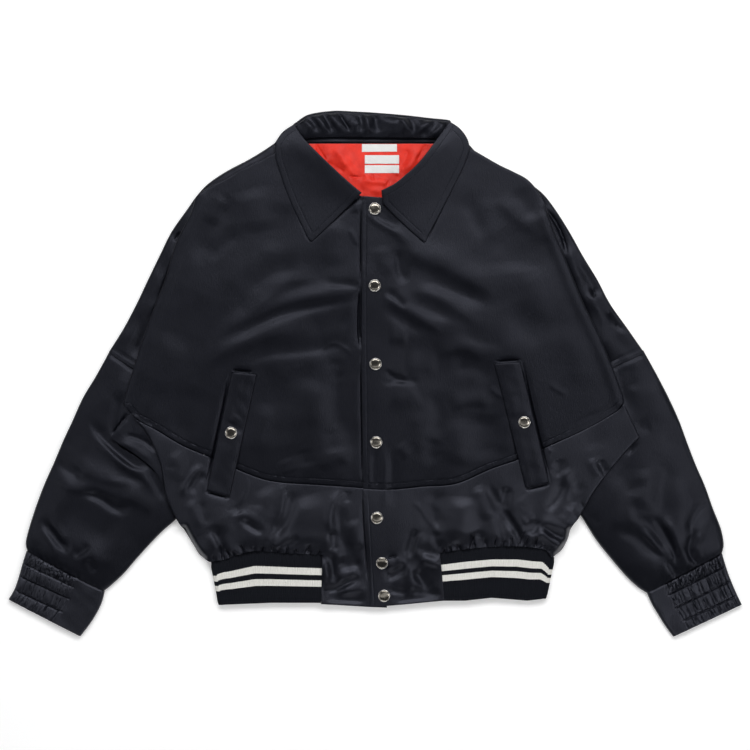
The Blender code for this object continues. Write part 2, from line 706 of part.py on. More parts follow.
def make_back():
    """The back, flat on the surface, inside the shoulder panels and sleeves."""
    outline = [(-96, BACK_NECK), (83, BACK_NECK)]
    clear = 0.6

    def armhole(side):
        out = OUTWARD[side]
        under = [(x - out * clear, y - clear * 0.5) for x, y in shoulder_under_line(side)]
        above = BODY_SIDE[side][0][1] + 15
        hole = [(ix - out * clear, iy) for _, _, ix, iy, _ in SLEEVE[side][-2::-1] if iy > above]
        ox, oy, ix, iy, _ = SLEEVE[side][-1]
        reach = SHOULDER_UNDER_REACH
        corner = between((ox, oy), (ix, iy), (reach + 1) / math.hypot(ix - ox, iy - oy))
        chord = [(corner[0] - out * clear, corner[1] + clear), (ix - out * clear, iy + clear)]
        return [*under[:-1], *chord, *hole, *BODY_SIDE[side]]

    outline = [*outline, *armhole(LEFT), (246, -255), (-240, -255), *reversed(armhole(RIGHT))]
    count = len(outline)
    points = [(x, y, z) for z in (0.0, WALL) for x, y in outline]
    faces = [tuple(range(count)), tuple(range(count, 2 * count))]
    faces += [(k, (k + 1) % count, (k + 1) % count + count, k + count) for k in range(count)]
    return make("back", "satin", points, faces)


def make_collar_band(side, net, leaf):
    """The collar's band under a leaf, from the roll down to the neck seam."""
    roll = curve(LEAF_ROLL_LINE[side])[3:-1]
    out = OUTWARD[side]
    high_line = inset_line(roll, out * 3.0)
    low_line = inset_line(roll, out * 14.0)
    sections = []
    for (hx, hy), (lx, ly) in zip(high_line, low_line):
        high = min(leaf.height(hx + a, hy + b) for a in (-4, 0, 4) for b in (-4, 0, 4)) - LEAF_WALL - GAP
        low = max(net.height(lx + a, ly + b) for a in (-4, 0, 4) for b in (-4, 0, 4)) + GAP
        sections.append([(hx, hy, high), (lx, ly, low + 1.0), (lx, ly, low), (hx, hy, high - 1.6)])
    return sweep(f"collar_band_{side}", "satin", sections)


SNAP_PROFILE = [(5.6, 2.3), (6.5, 3.0), (7.8, 2.9), (8.6, 2.0), (8.7, 0.7), (8.2, 0.0)]  # radius, height
SNAP_DISH = 2.0
SNAP_SIDES = 12


def make_snap(name, x, y, surface):
    """A turned cap, tilted to the cloth under it and just clear of it."""
    step = SNAP_RADIUS
    slope_x = (surface(x + step, y) - surface(x - step, y)) / (2 * step)
    slope_y = (surface(x, y + step) - surface(x, y - step)) / (2 * step)
    normal = Vector((-slope_x, -slope_y, 1.0)).normalized()
    across = Vector((1.0, 0.0, slope_x)).normalized()
    along = normal.cross(across)
    middle = Vector((x, y, surface(x, y)))
    lift = 0.0
    for k in range(24):
        for radius in (SNAP_RADIUS * 0.5, SNAP_RADIUS):
            turn = math.tau * k / 24
            px, py = x + radius * math.cos(turn), y + radius * math.sin(turn)
            lift = max(lift, (Vector((px, py, surface(px, py))) - middle).dot(normal))
    base = middle + normal * (lift + GAP)
    points = [base + normal * SNAP_DISH, base]
    for radius, height in SNAP_PROFILE:
        for k in range(SNAP_SIDES):
            turn = math.tau * k / SNAP_SIDES
            spoke = across * math.cos(turn) + along * math.sin(turn)
            points.append(base + spoke * radius + normal * height)
    faces = []
    last = 2 + (len(SNAP_PROFILE) - 1) * SNAP_SIDES
    for k in range(SNAP_SIDES):
        n = (k + 1) % SNAP_SIDES
        faces += [(0, 2 + k, 2 + n), (1, last + n, last + k)]
        for r in range(len(SNAP_PROFILE) - 1):
            a, b = 2 + r * SNAP_SIDES + k, 2 + r * SNAP_SIDES + n
            faces.append((a, a + SNAP_SIDES, b + SNAP_SIDES, b))
    return make(name, "nickel", points, faces)


def main():
    for old in list(bpy.data.objects):
        bpy.data.objects.remove(old)
    pile = Pile()
    make_back()
    for side in SIDES:
        for piece, stations in (("sleeve", SLEEVE), ("cuff", CUFF)):
            sections = tube_sections(stations[side], WALL, SLEEVE_FOLDS)
            pile.add(sweep(f"{piece}_{side}", "satin", sections, tube=True))
        pile.add(make_shoulder(side))
    for length in make_hem_band():
        pile.add(length)
    make_collar_roll()

    sleeves = Pile()
    sleeves.trees = list(pile.trees)
    gusset_net = Net(lambda x, y: sleeves.top_near(x, y, NET_X, NET_Y) + GAP + WALL)
    pile.add(sheet("underarm_right", "satin", UNDERARM_GUSSET, gusset_net, WALL))

    right_net = Net(front_rule(pile))
    left_net = Net(raised_rule(right_net))
    nets = {RIGHT: right_net, LEFT: left_net}
    for side in SIDES:
        net = nets[side]
        sheet(f"front_upper_{side}", "satin", FRONT_OUTLINE[side], net, front_wall(side))
        turned = lower_height(side, net)
        turn_line = inset_line(curve(SIDE_PINNED[side]), -OUTWARD[side] * ROLL_BAND)
        lower = outline_of_lower(side)
        sheet(f"front_lower_{side}", "satin", lower, net, front_wall(side), turned, [turn_line])

        leaf = Net(leaf_rule(net, pile, side), divide=2)
        sheet(f"collar_leaf_{side}", "satin", LEAF_OUTLINE[side], leaf, LEAF_WALL)
        make_collar_band(side, net, leaf)

        def welt_height(x, y, net=net):
            return net.height(x, y) + GAP + WELT_WALL

        sheet(f"pocket_welt_{side}", "satin", WELT[side], net, WELT_WALL, welt_height)
        make_snap(f"snap_pocket_{side}", *WELT_SNAP[side], welt_height)

    for number, (x, y) in enumerate(SNAPS, 1):
        make_snap(f"snap_front_{number}", x, y, left_net.height)

    lining_base = WALL + GAP + LINING_WALL
    lining = Net(lambda x, y: lining_base + fold_height(x, y, LINING_FOLDS))
    sheet("lining_neck", "lining", LINING, lining, LINING_WALL)
    for name, outline in LABELS.items():
        sheet(name, "label", outline, lining, LABEL_WALL, lambda x, y: lining.height(x, y) + GAP + LABEL_WALL)


main()
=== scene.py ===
"""Looks of a satin blouson jacket that lies flat on its back, seen from straight above.

Sizes here are in millimetres and become metres when a piece is made. +X is the wearer's left, +Y runs
from the hem to the collar, and +Z is up. Every cloth piece takes its outline and its broad height from
the CAD solid that it replaces. Creases, gathers, seams and stitches are then added.
"""

import math

import bpy
import numpy as np
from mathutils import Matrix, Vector
from mathutils.bvhtree import BVHTree
from mathutils.geometry import delaunay_2d_cdt
from mathutils.kdtree import KDTree


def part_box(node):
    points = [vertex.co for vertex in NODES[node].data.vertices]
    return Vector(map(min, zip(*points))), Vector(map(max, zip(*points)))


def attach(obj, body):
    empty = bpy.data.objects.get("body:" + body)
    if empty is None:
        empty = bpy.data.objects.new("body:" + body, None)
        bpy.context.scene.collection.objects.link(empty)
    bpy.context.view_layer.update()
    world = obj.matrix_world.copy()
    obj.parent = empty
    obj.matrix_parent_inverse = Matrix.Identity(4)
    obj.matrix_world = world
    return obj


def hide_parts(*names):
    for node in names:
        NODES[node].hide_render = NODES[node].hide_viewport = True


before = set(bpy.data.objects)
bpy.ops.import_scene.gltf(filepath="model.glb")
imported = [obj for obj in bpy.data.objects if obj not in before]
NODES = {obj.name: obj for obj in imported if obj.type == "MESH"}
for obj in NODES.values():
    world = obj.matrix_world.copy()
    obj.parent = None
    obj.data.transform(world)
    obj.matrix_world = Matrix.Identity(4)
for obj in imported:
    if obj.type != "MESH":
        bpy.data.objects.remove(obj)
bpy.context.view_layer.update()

MM = 0.001
RIGHT, LEFT = "right", "left"
OUTWARD = {RIGHT: -1.0, LEFT: 1.0}

# ---------------------------------------------------------------- small maths


def smooth(part):
    part = np.clip(part, 0.0, 1.0)
    return part * part * (3 - 2 * part)


def mix(a, b, part):
    return a + (b - a) * part


def bell(far, width, power=2):
    """1 in the middle and near 0 from about twice the width out; a higher power has a flatter top."""
    return np.exp(-((far / width) ** power))


def unit(way):
    """The same arrow or arrows, made one long."""
    return way / np.linalg.norm(way, axis=-1, keepdims=True)


def cross(a, b):
    """The flat cross product of arrows: above 0 where b points to the left of a."""
    return a[..., 0] * b[..., 1] - a[..., 1] * b[..., 0]


def wander(along, seed, length):
    """A slow random wave between -1 and 1 along a line, the same on each run."""
    rng = np.random.default_rng(seed)
    total = 0.0
    for k in range(3):
        total = total + np.sin(along / length * math.tau * rng.uniform(0.6, 1.7) + rng.uniform(0, math.tau))
    return total / 3


def ripple(xy, length, seed, angle=0.0, stretch=1.0):
    """A soft random surface between about -1 and 1, its waves longer by stretch along an angle."""
    rng = np.random.default_rng(seed)
    c, s = math.cos(math.radians(angle)), math.sin(math.radians(angle))
    along = (xy[:, 0] * c + xy[:, 1] * s) / stretch
    across = -xy[:, 0] * s + xy[:, 1] * c
    total = np.zeros(len(xy))
    for k in range(7):
        turn, phase = rng.uniform(0, math.tau), rng.uniform(0, math.tau)
        wave = math.tau / (length * rng.uniform(0.7, 1.6))
        bend = 0.8 * np.sin(along * wave * 0.43 + across * wave * 0.31 + phase * 2)
        total += np.sin(along * wave * math.cos(turn) + across * wave * math.sin(turn) + phase + bend)
    return total / 3.2


def lengths_along(line):
    return np.concatenate([[0.0], np.cumsum(np.linalg.norm(np.diff(line, axis=0), axis=1))])


def respaced(line, step):
    """The same line with places an even step apart, its ends kept."""
    along = lengths_along(line)
    at = np.linspace(0, along[-1], max(2, round(along[-1] / step) + 1))
    return np.stack([np.interp(at, along, line[:, k]) for k in range(line.shape[1])], axis=1)


def hermite(rows, slope, low, t, gap=1.0):
    """Smooth values between rows: t of the way, in a column, from each row low to the one after it."""
    return (
        (2 * t**3 - 3 * t**2 + 1) * rows[low] + (t**3 - 2 * t**2 + t) * gap * slope[low]
        + (3 * t**2 - 2 * t**3) * rows[low + 1] + (t**3 - t**2) * gap * slope[low + 1]
    )


def curve_by_index(rows, parts):
    """Smooth values between a table's rows, at fractional row numbers."""
    low = np.clip(parts.astype(int), 0, len(rows) - 2)
    return hermite(rows, np.gradient(rows, axis=0), low, (parts - low)[:, None])


def stations_along(table, step):
    """A table's rows made smooth and even, a step apart along the line of their first two values."""
    stations = np.array(table, float)
    run = lengths_along(stations[:, :2])
    at = np.linspace(0, run[-1], int(run[-1] / step))
    return curve_by_index(stations, np.interp(at, run, np.arange(len(stations))))


def curve(points, step=2.0):
    """A smooth line through a few places."""
    points = np.array(points, float)
    if len(points) < 3:
        return respaced(points, step)
    along = lengths_along(points)
    slope = np.gradient(points, along, axis=0)
    at = np.linspace(0, along[-1], max(3, round(along[-1] / step) + 1))
    low = np.clip(np.searchsorted(along, at, side="right") - 1, 0, len(points) - 2)
    gap = (along[low + 1] - along[low])[:, None]
    return hermite(points, slope, low, ((at - along[low]) / gap[:, 0])[:, None], gap)


def to_line(xy, line):
    """For each place: distance to a line, how far along it, 1 on its left or -1 on its right, and up.

    Up runs from 1 where the place is straight above its nearest place on the line to -1 straight below.
    """
    best = np.full(len(xy), np.inf)
    along, hand, up = np.zeros(len(xy)), np.ones(len(xy)), np.zeros(len(xy))
    start = 0.0
    for a, b in zip(line[:-1], line[1:]):
        run = b - a
        length = math.hypot(*run)
        if length < 1e-9:
            continue
        rel = xy - a
        part = np.clip((rel @ run) / length**2, 0, 1)
        gap = rel - part[:, None] * run
        far = np.hypot(gap[:, 0], gap[:, 1])
        near = far < best
        best = np.where(near, far, best)
        along = np.where(near, start + part * length, along)
        hand = np.where(near, np.sign(cross(run, rel)), hand)
        up = np.where(near, gap[:, 1] / np.maximum(far, 1e-6), up)
        start += length
    return best, along, hand, up


def far_from(xy, line):
    """For each place: its distance to a line."""
    return to_line(xy, line)[0]


def closed(outline):
    """An outline with its first place again at its end."""
    return np.vstack([outline, outline[:1]])


def inside(xy, outline):
    odd = np.zeros(len(xy), bool)
    for (ax, ay), (bx, by) in zip(outline, np.roll(outline, -1, axis=0)):
        if ay != by:
            crosses = (ay > xy[:, 1]) != (by > xy[:, 1])
            odd ^= crosses & (xy[:, 0] < ax + (xy[:, 1] - ay) / (by - ay) * (bx - ax))
    return odd


def moved_left(line, distance):
    """A line moved sideways to its left."""
    run = unit(np.gradient(line, axis=0))
    return line + np.stack([-run[:, 1], run[:, 0]], axis=1) * distance


# ---------------------------------------------------------------- what the CAD says


def cad_mesh(node):
    """A CAD node's points in millimetres, joined where they coincide, and its triangles."""
    mesh = NODES[node].data
    points = np.array([v.co for v in mesh.vertices]) / MM
    _, first, place = np.unique(np.round(points, 3), axis=0, return_index=True, return_inverse=True)
    mesh.calc_loop_triangles()
    return points[first], [tuple(int(place.ravel()[v]) for v in t.vertices) for t in mesh.loop_triangles]


SHARP_TURN = 28.0  # degrees, from which a corner of an outline stays sharp
STRAIGHT = 0.02  # how far off a straight run a place may be and still count as on it


def cad_outline(node, step=2.0):
    """The smooth outline of a CAD sheet seen from above, anticlockwise, with its corners kept sharp."""
    points, triangles = cad_mesh(node)
    edges = set()
    for a, b, c in triangles:
        normal = np.cross(points[b] - points[a], points[c] - points[a])
        if normal[2] > 0.02 * np.linalg.norm(normal):
            edges |= {(a, b), (b, c), (c, a)}
    after = {a: b for a, b in edges if (b, a) not in edges}
    loops = []
    while after:
        loop = [next(iter(after))]
        while loop[-1] in after:
            loop.append(after.pop(loop[-1]))
        loops.append(loop[:-1])
    corners = points[max(loops, key=len)][:, :2]
    while True:  # drop the places that lie on a straight run
        before, ahead = np.roll(corners, 1, axis=0), np.roll(corners, -1, axis=0)
        run = ahead - before
        off = np.abs(cross(run, corners - before)) / np.linalg.norm(run, axis=1)
        worst = int(np.argmin(off))
        if off[worst] > STRAIGHT:
            break
        corners = np.delete(corners, worst, axis=0)
    into, out = corners - np.roll(corners, 1, axis=0), np.roll(corners, -1, axis=0) - corners
    turn = np.degrees(np.arctan2(cross(into, out), (into * out).sum(axis=1)))
    sharp = np.flatnonzero(np.abs(turn) > SHARP_TURN)
    corners = np.roll(corners, -sharp[0], axis=0)
    stops = [*(sharp - sharp[0]), len(corners)]
    whole = closed(corners)
    return np.vstack([curve(whole[a:b + 1], step)[:-1] for a, b in zip(stops, stops[1:])])


def stretch(outline, start, end):
    """The part of an outline that runs from the place nearest start to the one nearest end."""
    first = int(np.argmin(np.linalg.norm(outline - np.array(start), axis=1)))
    last = int(np.argmin(np.linalg.norm(outline - np.array(end), axis=1)))
    return np.roll(outline, -first, axis=0)[: (last - first) % len(outline) + 1]


def tree_of(points, faces):
    return BVHTree.FromPolygons([Vector(p) for p in points], faces)


def tops(trees, xy, missing=0.0):
    """Height of the highest surface under each place."""
    found = np.full(len(xy), -np.inf)
    down = Vector((0, 0, -1))
    for tree in trees:
        for k, (x, y) in enumerate(xy):
            hit = tree.ray_cast(Vector((x, y, 300)), down)[0]
            if hit and hit.z > found[k]:
                found[k] = hit.z
    return np.where(np.isfinite(found), found, missing)


class Relief:
    """The broad height of CAD nodes' upper faces: read on a grid, carried past their edges and softened."""

    MARGIN = 40.0  # how far past the nodes the grid reaches

    def __init__(self, nodes, step=4.0, blur=9.0, leave_out=None):
        trees = [tree_of(*cad_mesh(node)) for node in nodes]
        boxes = [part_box(node) for node in nodes]
        self.low = np.array([min(b[0][k] for b in boxes) / MM - self.MARGIN for k in (0, 1)])
        high = np.array([max(b[1][k] for b in boxes) / MM + self.MARGIN for k in (0, 1)])
        count = np.ceil((high - self.low) / step).astype(int) + 1
        self.step = step
        ys, xs = np.meshgrid(np.arange(count[1]), np.arange(count[0]), indexing="ij")
        xy = np.stack([xs.ravel() * step + self.low[0], ys.ravel() * step + self.low[1]], axis=1)
        z = tops(trees, xy, np.nan)
        if leave_out is not None:
            z = np.where(leave_out(xy), np.nan, z)
        known = np.isfinite(z).reshape(count[1], count[0]).astype(float)
        z = np.where(np.isfinite(z), z, 0.0).reshape(count[1], count[0])
        while known.min() == 0:  # carry the height outward, a cell at a time
            near, weight = self.spread(z * known, [1, 2, 1]), self.spread(known, [1, 2, 1])
            z = np.where(known > 0, z, near / np.maximum(weight, 1e-9))
            known = np.where(weight > 0, 1.0, 0.0)
        reach = int(3 * blur / step)
        kernel = [math.exp(-0.5 * (k * step / blur) ** 2) for k in range(-reach, reach + 1)]
        self.z = self.spread(z, kernel) / self.spread(np.ones_like(z), kernel)

    @staticmethod
    def spread(grid, kernel):
        kernel = np.array(kernel, float) / sum(kernel)
        grid = np.apply_along_axis(np.convolve, 0, grid, kernel, mode="same")
        return np.apply_along_axis(np.convolve, 1, grid, kernel, mode="same")

    def __call__(self, xy):
        at = (xy - self.low) / self.step
        rows, columns = self.z.shape
        x, y = np.clip(at[:, 0], 0, columns - 1.001), np.clip(at[:, 1], 0, rows - 1.001)
        i, j = x.astype(int), y.astype(int)
        u, v = x - i, y - j
        low = mix(self.z[j, i], self.z[j, i + 1], u)
        return mix(low, mix(self.z[j + 1, i], self.z[j + 1, i + 1], u), v)


# ---------------------------------------------------------------- relief of cloth


UP_SIDE = 0.3  # how much wider a crease's slope is on the collar's side
SHARP_WIDTH = 3.6  # creases narrower than this keep their width
SOFT_WIDTH, SOFT_DEPTH = 1.4, 1.2  # how much of a soft crease's measured width and height is shown
NARROW_WIDTH, NARROW_DEPTH = 1.2, 0.6  # the same for a narrow ridge
SLIT_WIDTH, SLIT_DEPTH = 0.78, 1.4  # the same for a slit
SLIT_DRAW, SLIT_DRAW_WIDTH = 0.6, 2.6  # and for the shallow hollow that a slit lies in
SLIT_REACH, SOFT_REACH = 6.0, 4.2  # how many half widths out a crease still counts
FADE_OUT = 0.33  # the part of a crease's length in which it dies out at each end


def is_slit(width, height):
    return height < 0 and width < SHARP_WIDTH


def creases(xy, table):
    """Sum of listed ridges and troughs: each row is a line's X and Y by turns, a half width, a height.

    The slope on the side of the collar is the wide one, as cloth hangs from the shoulders even when laid.
    A narrow trough is a slit: steep sides, level lips, and dark for that reason.
    """
    total = np.zeros(len(xy))
    for *places, width, height in table:
        slit = is_slit(width, height)
        line = curve(np.reshape(places, (-1, 2)), 6.0)
        reach = (SLIT_REACH if slit else SOFT_REACH) * width
        low, high = line.min(axis=0) - reach, line.max(axis=0) + reach
        near = np.flatnonzero(((xy > low) & (xy < high)).all(axis=1))
        if not len(near):
            continue
        far, along, _, up = to_line(xy[near], line)
        length = lengths_along(line)[-1]
        fade = smooth(np.minimum(along, length - along) / (FADE_OUT * length) + 0.12)
        if slit:
            cut = SLIT_DEPTH * bell(far, SLIT_WIDTH * width, 4)
            hollow = SLIT_DRAW * bell(far, SLIT_DRAW_WIDTH * width)
            total[near] += height * fade * (cut + hollow)
        else:
            narrow = width < SHARP_WIDTH
            spread = (NARROW_WIDTH if narrow else SOFT_WIDTH) * width * (1 + UP_SIDE * up)
            shown = (NARROW_DEPTH if narrow else SOFT_DEPTH) * height
            total[near] += shown * fade * bell(far, spread)
    return total


def tracks_of(table):
    """The slits of a table, which the mesh follows, each with how far out its sides are."""
    return [(curve(np.reshape(places, (-1, 2)), 4.0), width) for *places, width, height in table
            if is_slit(width, height)]


SEAM_TRACK = 0.8  # how far out the mesh follows a row of topstitching
SEAM_WIDTH = 0.55


def seam_groove(far, depth=0.35):
    """The dent along a row of topstitching."""
    return -depth * bell(far, SEAM_WIDTH, 4)


def gathers(far, along, seed, period, height, reach):
    """Small uneven pleats, round with sharp valleys, that run away from a seam and die out."""
    phase = along / period * math.pi + 1.5 * wander(along, seed, period * 7)
    uneven = 0.6 + 0.4 * wander(along, seed + 1, period * 4)
    length = reach * (0.7 + 0.5 * wander(along, seed + 2, period * 2.3))
    crest = np.abs(np.sin(phase)) ** 0.7 - 0.6
    return height * uneven * crest * bell(far, np.maximum(length, 0.5), 1.5)


def edge_drop(far, reach, drop):
    """How far a rounded edge has fallen, at a distance in from the edge."""
    part = 1 - np.clip(far / reach, 0, 1)
    return drop * (1 - np.sqrt(np.maximum(1 - part * part, 0)))


# ---------------------------------------------------------------- materials


class Nodes:
    """A Principled material whose look comes from procedural nodes."""

    def __init__(self, name, **values):
        self.material = bpy.data.materials.new(name)
        self.material.use_nodes = True
        self.tree = self.material.node_tree
        self.shader = self.tree.nodes["Principled BSDF"]
        for socket, value in values.items():
            self.shader.inputs[socket.replace("_", " ")].default_value = value
        self.place = self.tree.nodes.new("ShaderNodeTexCoord").outputs["Object"]

    def add(self, kind, inputs=(), **settings):
        node = self.tree.nodes.new("ShaderNode" + kind)
        for key, value in settings.items():
            setattr(node, key, value)
        for socket, value in dict(inputs).items():
            if isinstance(value, bpy.types.NodeSocket):
                self.tree.links.new(value, node.inputs[socket])
            else:
                node.inputs[socket].default_value = value
        return node

    def noise(self, scale, detail=2.0, stretch=(1, 1, 1), turn=0.0):
        """Noise with about scale lumps to a metre."""
        placed = self.add("Mapping", {"Vector": self.place, "Scale": stretch, "Rotation": (0, 0, turn)})
        inputs = {"Vector": placed.outputs[0], "Scale": scale, "Detail": detail}
        return self.add("TexNoise", inputs).outputs[0]

    def waves(self, period, turn=0.0, distortion=0.0, detail=1.0):
        """Fine parallel threads, a period apart in metres, across X turned by an angle."""
        placed = self.add("Mapping", {"Vector": self.place, "Rotation": (0, 0, turn)})
        return self.add("TexWave", {
            "Vector": placed.outputs[0], "Scale": math.tau / 20 / period, "Distortion": distortion,
            "Detail": detail, "Detail Scale": detail,
        }).outputs["Fac"]

    def between(self, fac, low, high, start=0.35, end=0.65):
        """A number or colour that follows fac from low to high."""
        ramp = self.add("MapRange", {"Value": fac, "From Min": start, "From Max": end}).outputs[0]
        if isinstance(low, tuple):
            return self.add("Mix", {0: ramp, 6: (*low, 1), 7: (*high, 1)}, data_type="RGBA").outputs[2]
        return self.add("MapRange", {"Value": ramp, "To Min": low, "To Max": high}).outputs[0]

    def bump(self, layers):
        """Relief from several heights, each with its size in metres and its strength."""
        normal = None
        for height, distance, strength in layers:
            inputs = {"Height": height, "Distance": distance, "Strength": strength}
            if normal is not None:
                inputs["Normal"] = normal
            normal = self.add("Bump", inputs).outputs[0]
        self.link("Normal", normal)

    def link(self, socket, value):
        self.tree.links.new(value, self.shader.inputs[socket])


QUARTER = math.radians(90)


def satin_material(name, dark, pale, roughness, shine, turn=52):
    """Satin: fine threads at an angle in degrees, a soft sheen and faint handling marks."""
    made = Nodes(name, Specular_IOR_Level=shine, Specular_Tint=(0.78, 0.81, 1.0, 1),
                 Sheen_Weight=0.02, Sheen_Roughness=0.4, Sheen_Tint=(0.55, 0.62, 0.85, 1))
    grain, slub = made.noise(1500, 3.0), made.noise(1100, 2.0, (1, 0.16, 1), math.radians(turn))
    cloud = made.noise(34, 3.0)
    mottle = made.add("Math", {0: grain, 1: cloud}, operation="ADD").outputs[0]
    made.link("Base Color", made.between(mottle, dark, pale, 0.75, 1.25))
    made.link("Roughness", made.between(cloud, roughness - 0.03, roughness + 0.04, 0.3, 0.7))
    made.bump([
        (made.noise(60, 2.0), 0.0012, 0.10),
        (slub, 0.0008, 0.3),
        (made.waves(0.00055, math.radians(turn), 0.6), 0.0002, 0.16),
        (grain, 0.0003, 0.3),
    ])
    return made.material


def knit_material(name, dark, pale):
    """Rib knit: small stitches in columns. The ribs themselves are modelled."""
    made = Nodes(name, Roughness=0.9, Sheen_Weight=0.02, Sheen_Roughness=0.5, Specular_IOR_Level=0.1)
    rows, fuzz = made.waves(0.0015, QUARTER, 1.5, 2.0), made.noise(2600, 4.0)
    mixed = made.add("Math", {0: rows, 1: fuzz}, operation="ADD").outputs[0]
    made.link("Base Color", made.between(mixed, dark, pale, 0.6, 1.4))
    made.bump([(rows, 0.0005, 0.35), (fuzz, 0.0004, 0.35)])
    return made.material


def lining_material():
    made = Nodes("lining_red", Sheen_Weight=0.03, Sheen_Roughness=0.4, Specular_IOR_Level=0.25)
    cloud, grain = made.noise(60, 3.0), made.noise(1700, 2.0)
    made.link("Base Color", made.between(cloud, (0.66, 0.022, 0.011), (0.84, 0.037, 0.019)))
    made.link("Roughness", made.between(cloud, 0.42, 0.52))
    made.bump([(cloud, 0.002, 0.35), (made.waves(0.0006, QUARTER), 0.0002, 0.2), (grain, 0.0002, 0.15)])
    return made.material


def label_material():
    made = Nodes("label_white", Roughness=0.75, Specular_IOR_Level=0.3)
    across, down = made.waves(0.0007), made.waves(0.0007, QUARTER)
    weave = made.add("Math", {0: across, 1: down}, operation="MULTIPLY").outputs[0]
    made.link("Base Color", made.between(weave, (0.78, 0.78, 0.77), (0.88, 0.88, 0.87), 0.0, 1.0))
    made.bump([(weave, 0.0002, 0.4)])
    return made.material


def metal_material(name, dull, bright, roughness, dents=0.0):
    made = Nodes(name, Metallic=1.0)
    wear, brushed = made.noise(420, 3.0), made.noise(2400, 2.0, (1, 6, 1))
    made.link("Base Color", made.between(wear, dull, bright))
    made.link("Roughness", made.between(brushed, roughness, roughness + 0.1))
    made.bump([(made.noise(110, 0.0), 0.003, dents), (brushed, 0.0001, 0.06)])
    return made.material


def thread_material(name, colour):
    made = Nodes(name, Roughness=0.6, Specular_IOR_Level=0.03)
    twist = made.waves(0.0007, math.radians(30))
    made.link("Base Color", made.between(twist, tuple(0.7 * c for c in colour), colour, 0.0, 1.0))
    made.bump([(twist, 0.0002, 0.4)])
    return made.material


FLOOR_GLOW = 0.22  # brings the lit floor up to the photo's plain white


def floor_material():
    """White paper. Its own glow is only seen by the camera and in mirrors, and lights nothing."""
    made = Nodes("floor", Roughness=0.9, Specular_IOR_Level=0.1, Emission_Color=(1, 1, 1, 1))
    made.link("Base Color", made.between(made.noise(6, 2.0), (0.93, 0.93, 0.93), (0.95, 0.95, 0.95)))
    path = made.add("LightPath").outputs
    seen = path["Is Camera Ray"]
    for way in ("Is Glossy Ray", "Is Transmission Ray"):
        seen = made.add("Math", {0: seen, 1: path[way]}, operation="MAXIMUM").outputs[0]
    made.link("Emission Strength", made.between(seen, 0.0, FLOOR_GLOW, 0.0, 1.0))
    return made.material


NAVY = ((0.0024, 0.0027, 0.0043), (0.0034, 0.0038, 0.0060))
SATIN = satin_material("satin_navy", *NAVY, 0.385, 0.235)
SATIN_ACROSS_LIT = satin_material("satin_navy_across_lit", *NAVY, 0.38, 0.365, 142)  # threads turned across, as these panels are cut across the grain; its higher shine than the main satin is painted light, brightening the lower panels under the same lamps
# the cuffs' satin, threads turned across; its higher shine is painted light, brightening the cuffs under the
# same lamps
SATIN_CUFF_LIT = satin_material("satin_navy_cuff_lit", *NAVY, 0.4, 0.46, 142)
KNIT = knit_material("knit_black", (0.0035, 0.0042, 0.0066), (0.0090, 0.0102, 0.0145))
STRIPE = knit_material("knit_white", (0.66, 0.65, 0.61), (0.86, 0.85, 0.81))
LINING = lining_material()
LABEL = label_material()
NICKEL = metal_material("nickel", (0.50, 0.48, 0.46), (0.66, 0.65, 0.63), 0.2)
DISC = metal_material("nickel_aged", (0.27, 0.247, 0.212), (0.38, 0.355, 0.315), 0.12, 0.2)
NAVY_THREAD, WHITE_THREAD = ("stitches_navy", "satin"), ("stitches_white", "label")  # name, slot
THREAD_SHADE = {
    "stitches_navy": thread_material("thread_navy", (0.0035, 0.0040, 0.0065)),
    "stitches_white": thread_material("thread_white", (0.8, 0.8, 0.78)),
}
SHADE = {"satin": SATIN, "knit": KNIT, "lining": LINING, "label": LABEL, "nickel": NICKEL}

# ---------------------------------------------------------------- making pieces

CRISP_TURN = 38.0  # degrees between faces from which their edge is a crisp one
PILE = []  # what already lies under the next piece
THREADS = {}  # stitches by their thread, each thread's joined into one piece at the end


def put(name, data):
    """A new object in the scene."""
    thing = bpy.data.objects.new(name, data)
    bpy.context.scene.collection.objects.link(thing)
    return thing


def make(name, slot, points, faces, replaces=(), material_of=None, second=None):
    """A smooth-shaded piece on the jacket's one body, from points in millimetres."""
    mesh = bpy.data.meshes.new(name)
    mesh.from_pydata((np.asarray(points) * MM).tolist(), [], faces.tolist(), shade_flat=False)
    mesh.validate()
    mesh.set_sharp_from_angle(angle=math.radians(CRISP_TURN))
    mesh.materials.append(SHADE[slot])
    if material_of is not None:
        mesh.materials.append(second)
        mesh.polygons.foreach_set("material_index", material_of)
    piece = put(name, mesh)
    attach(piece, "root")
    if replaces:
        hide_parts(*replaces)
    return piece


FINE_REACH = 7.0  # how far from an edge or a fine line the mesh is fine
EDGE_CLEAR, RAIL_CLEAR = 2.4, 1.6  # how far loose places, and rails, keep from the edge
RAILS = (-1, -0.5, 0, 0.5, 1)  # where a track's rows of places run, in half widths
RAIL_STEP = 2.0
RINGS = (0.5, 1.3)  # how far in from the edge its rings of places run


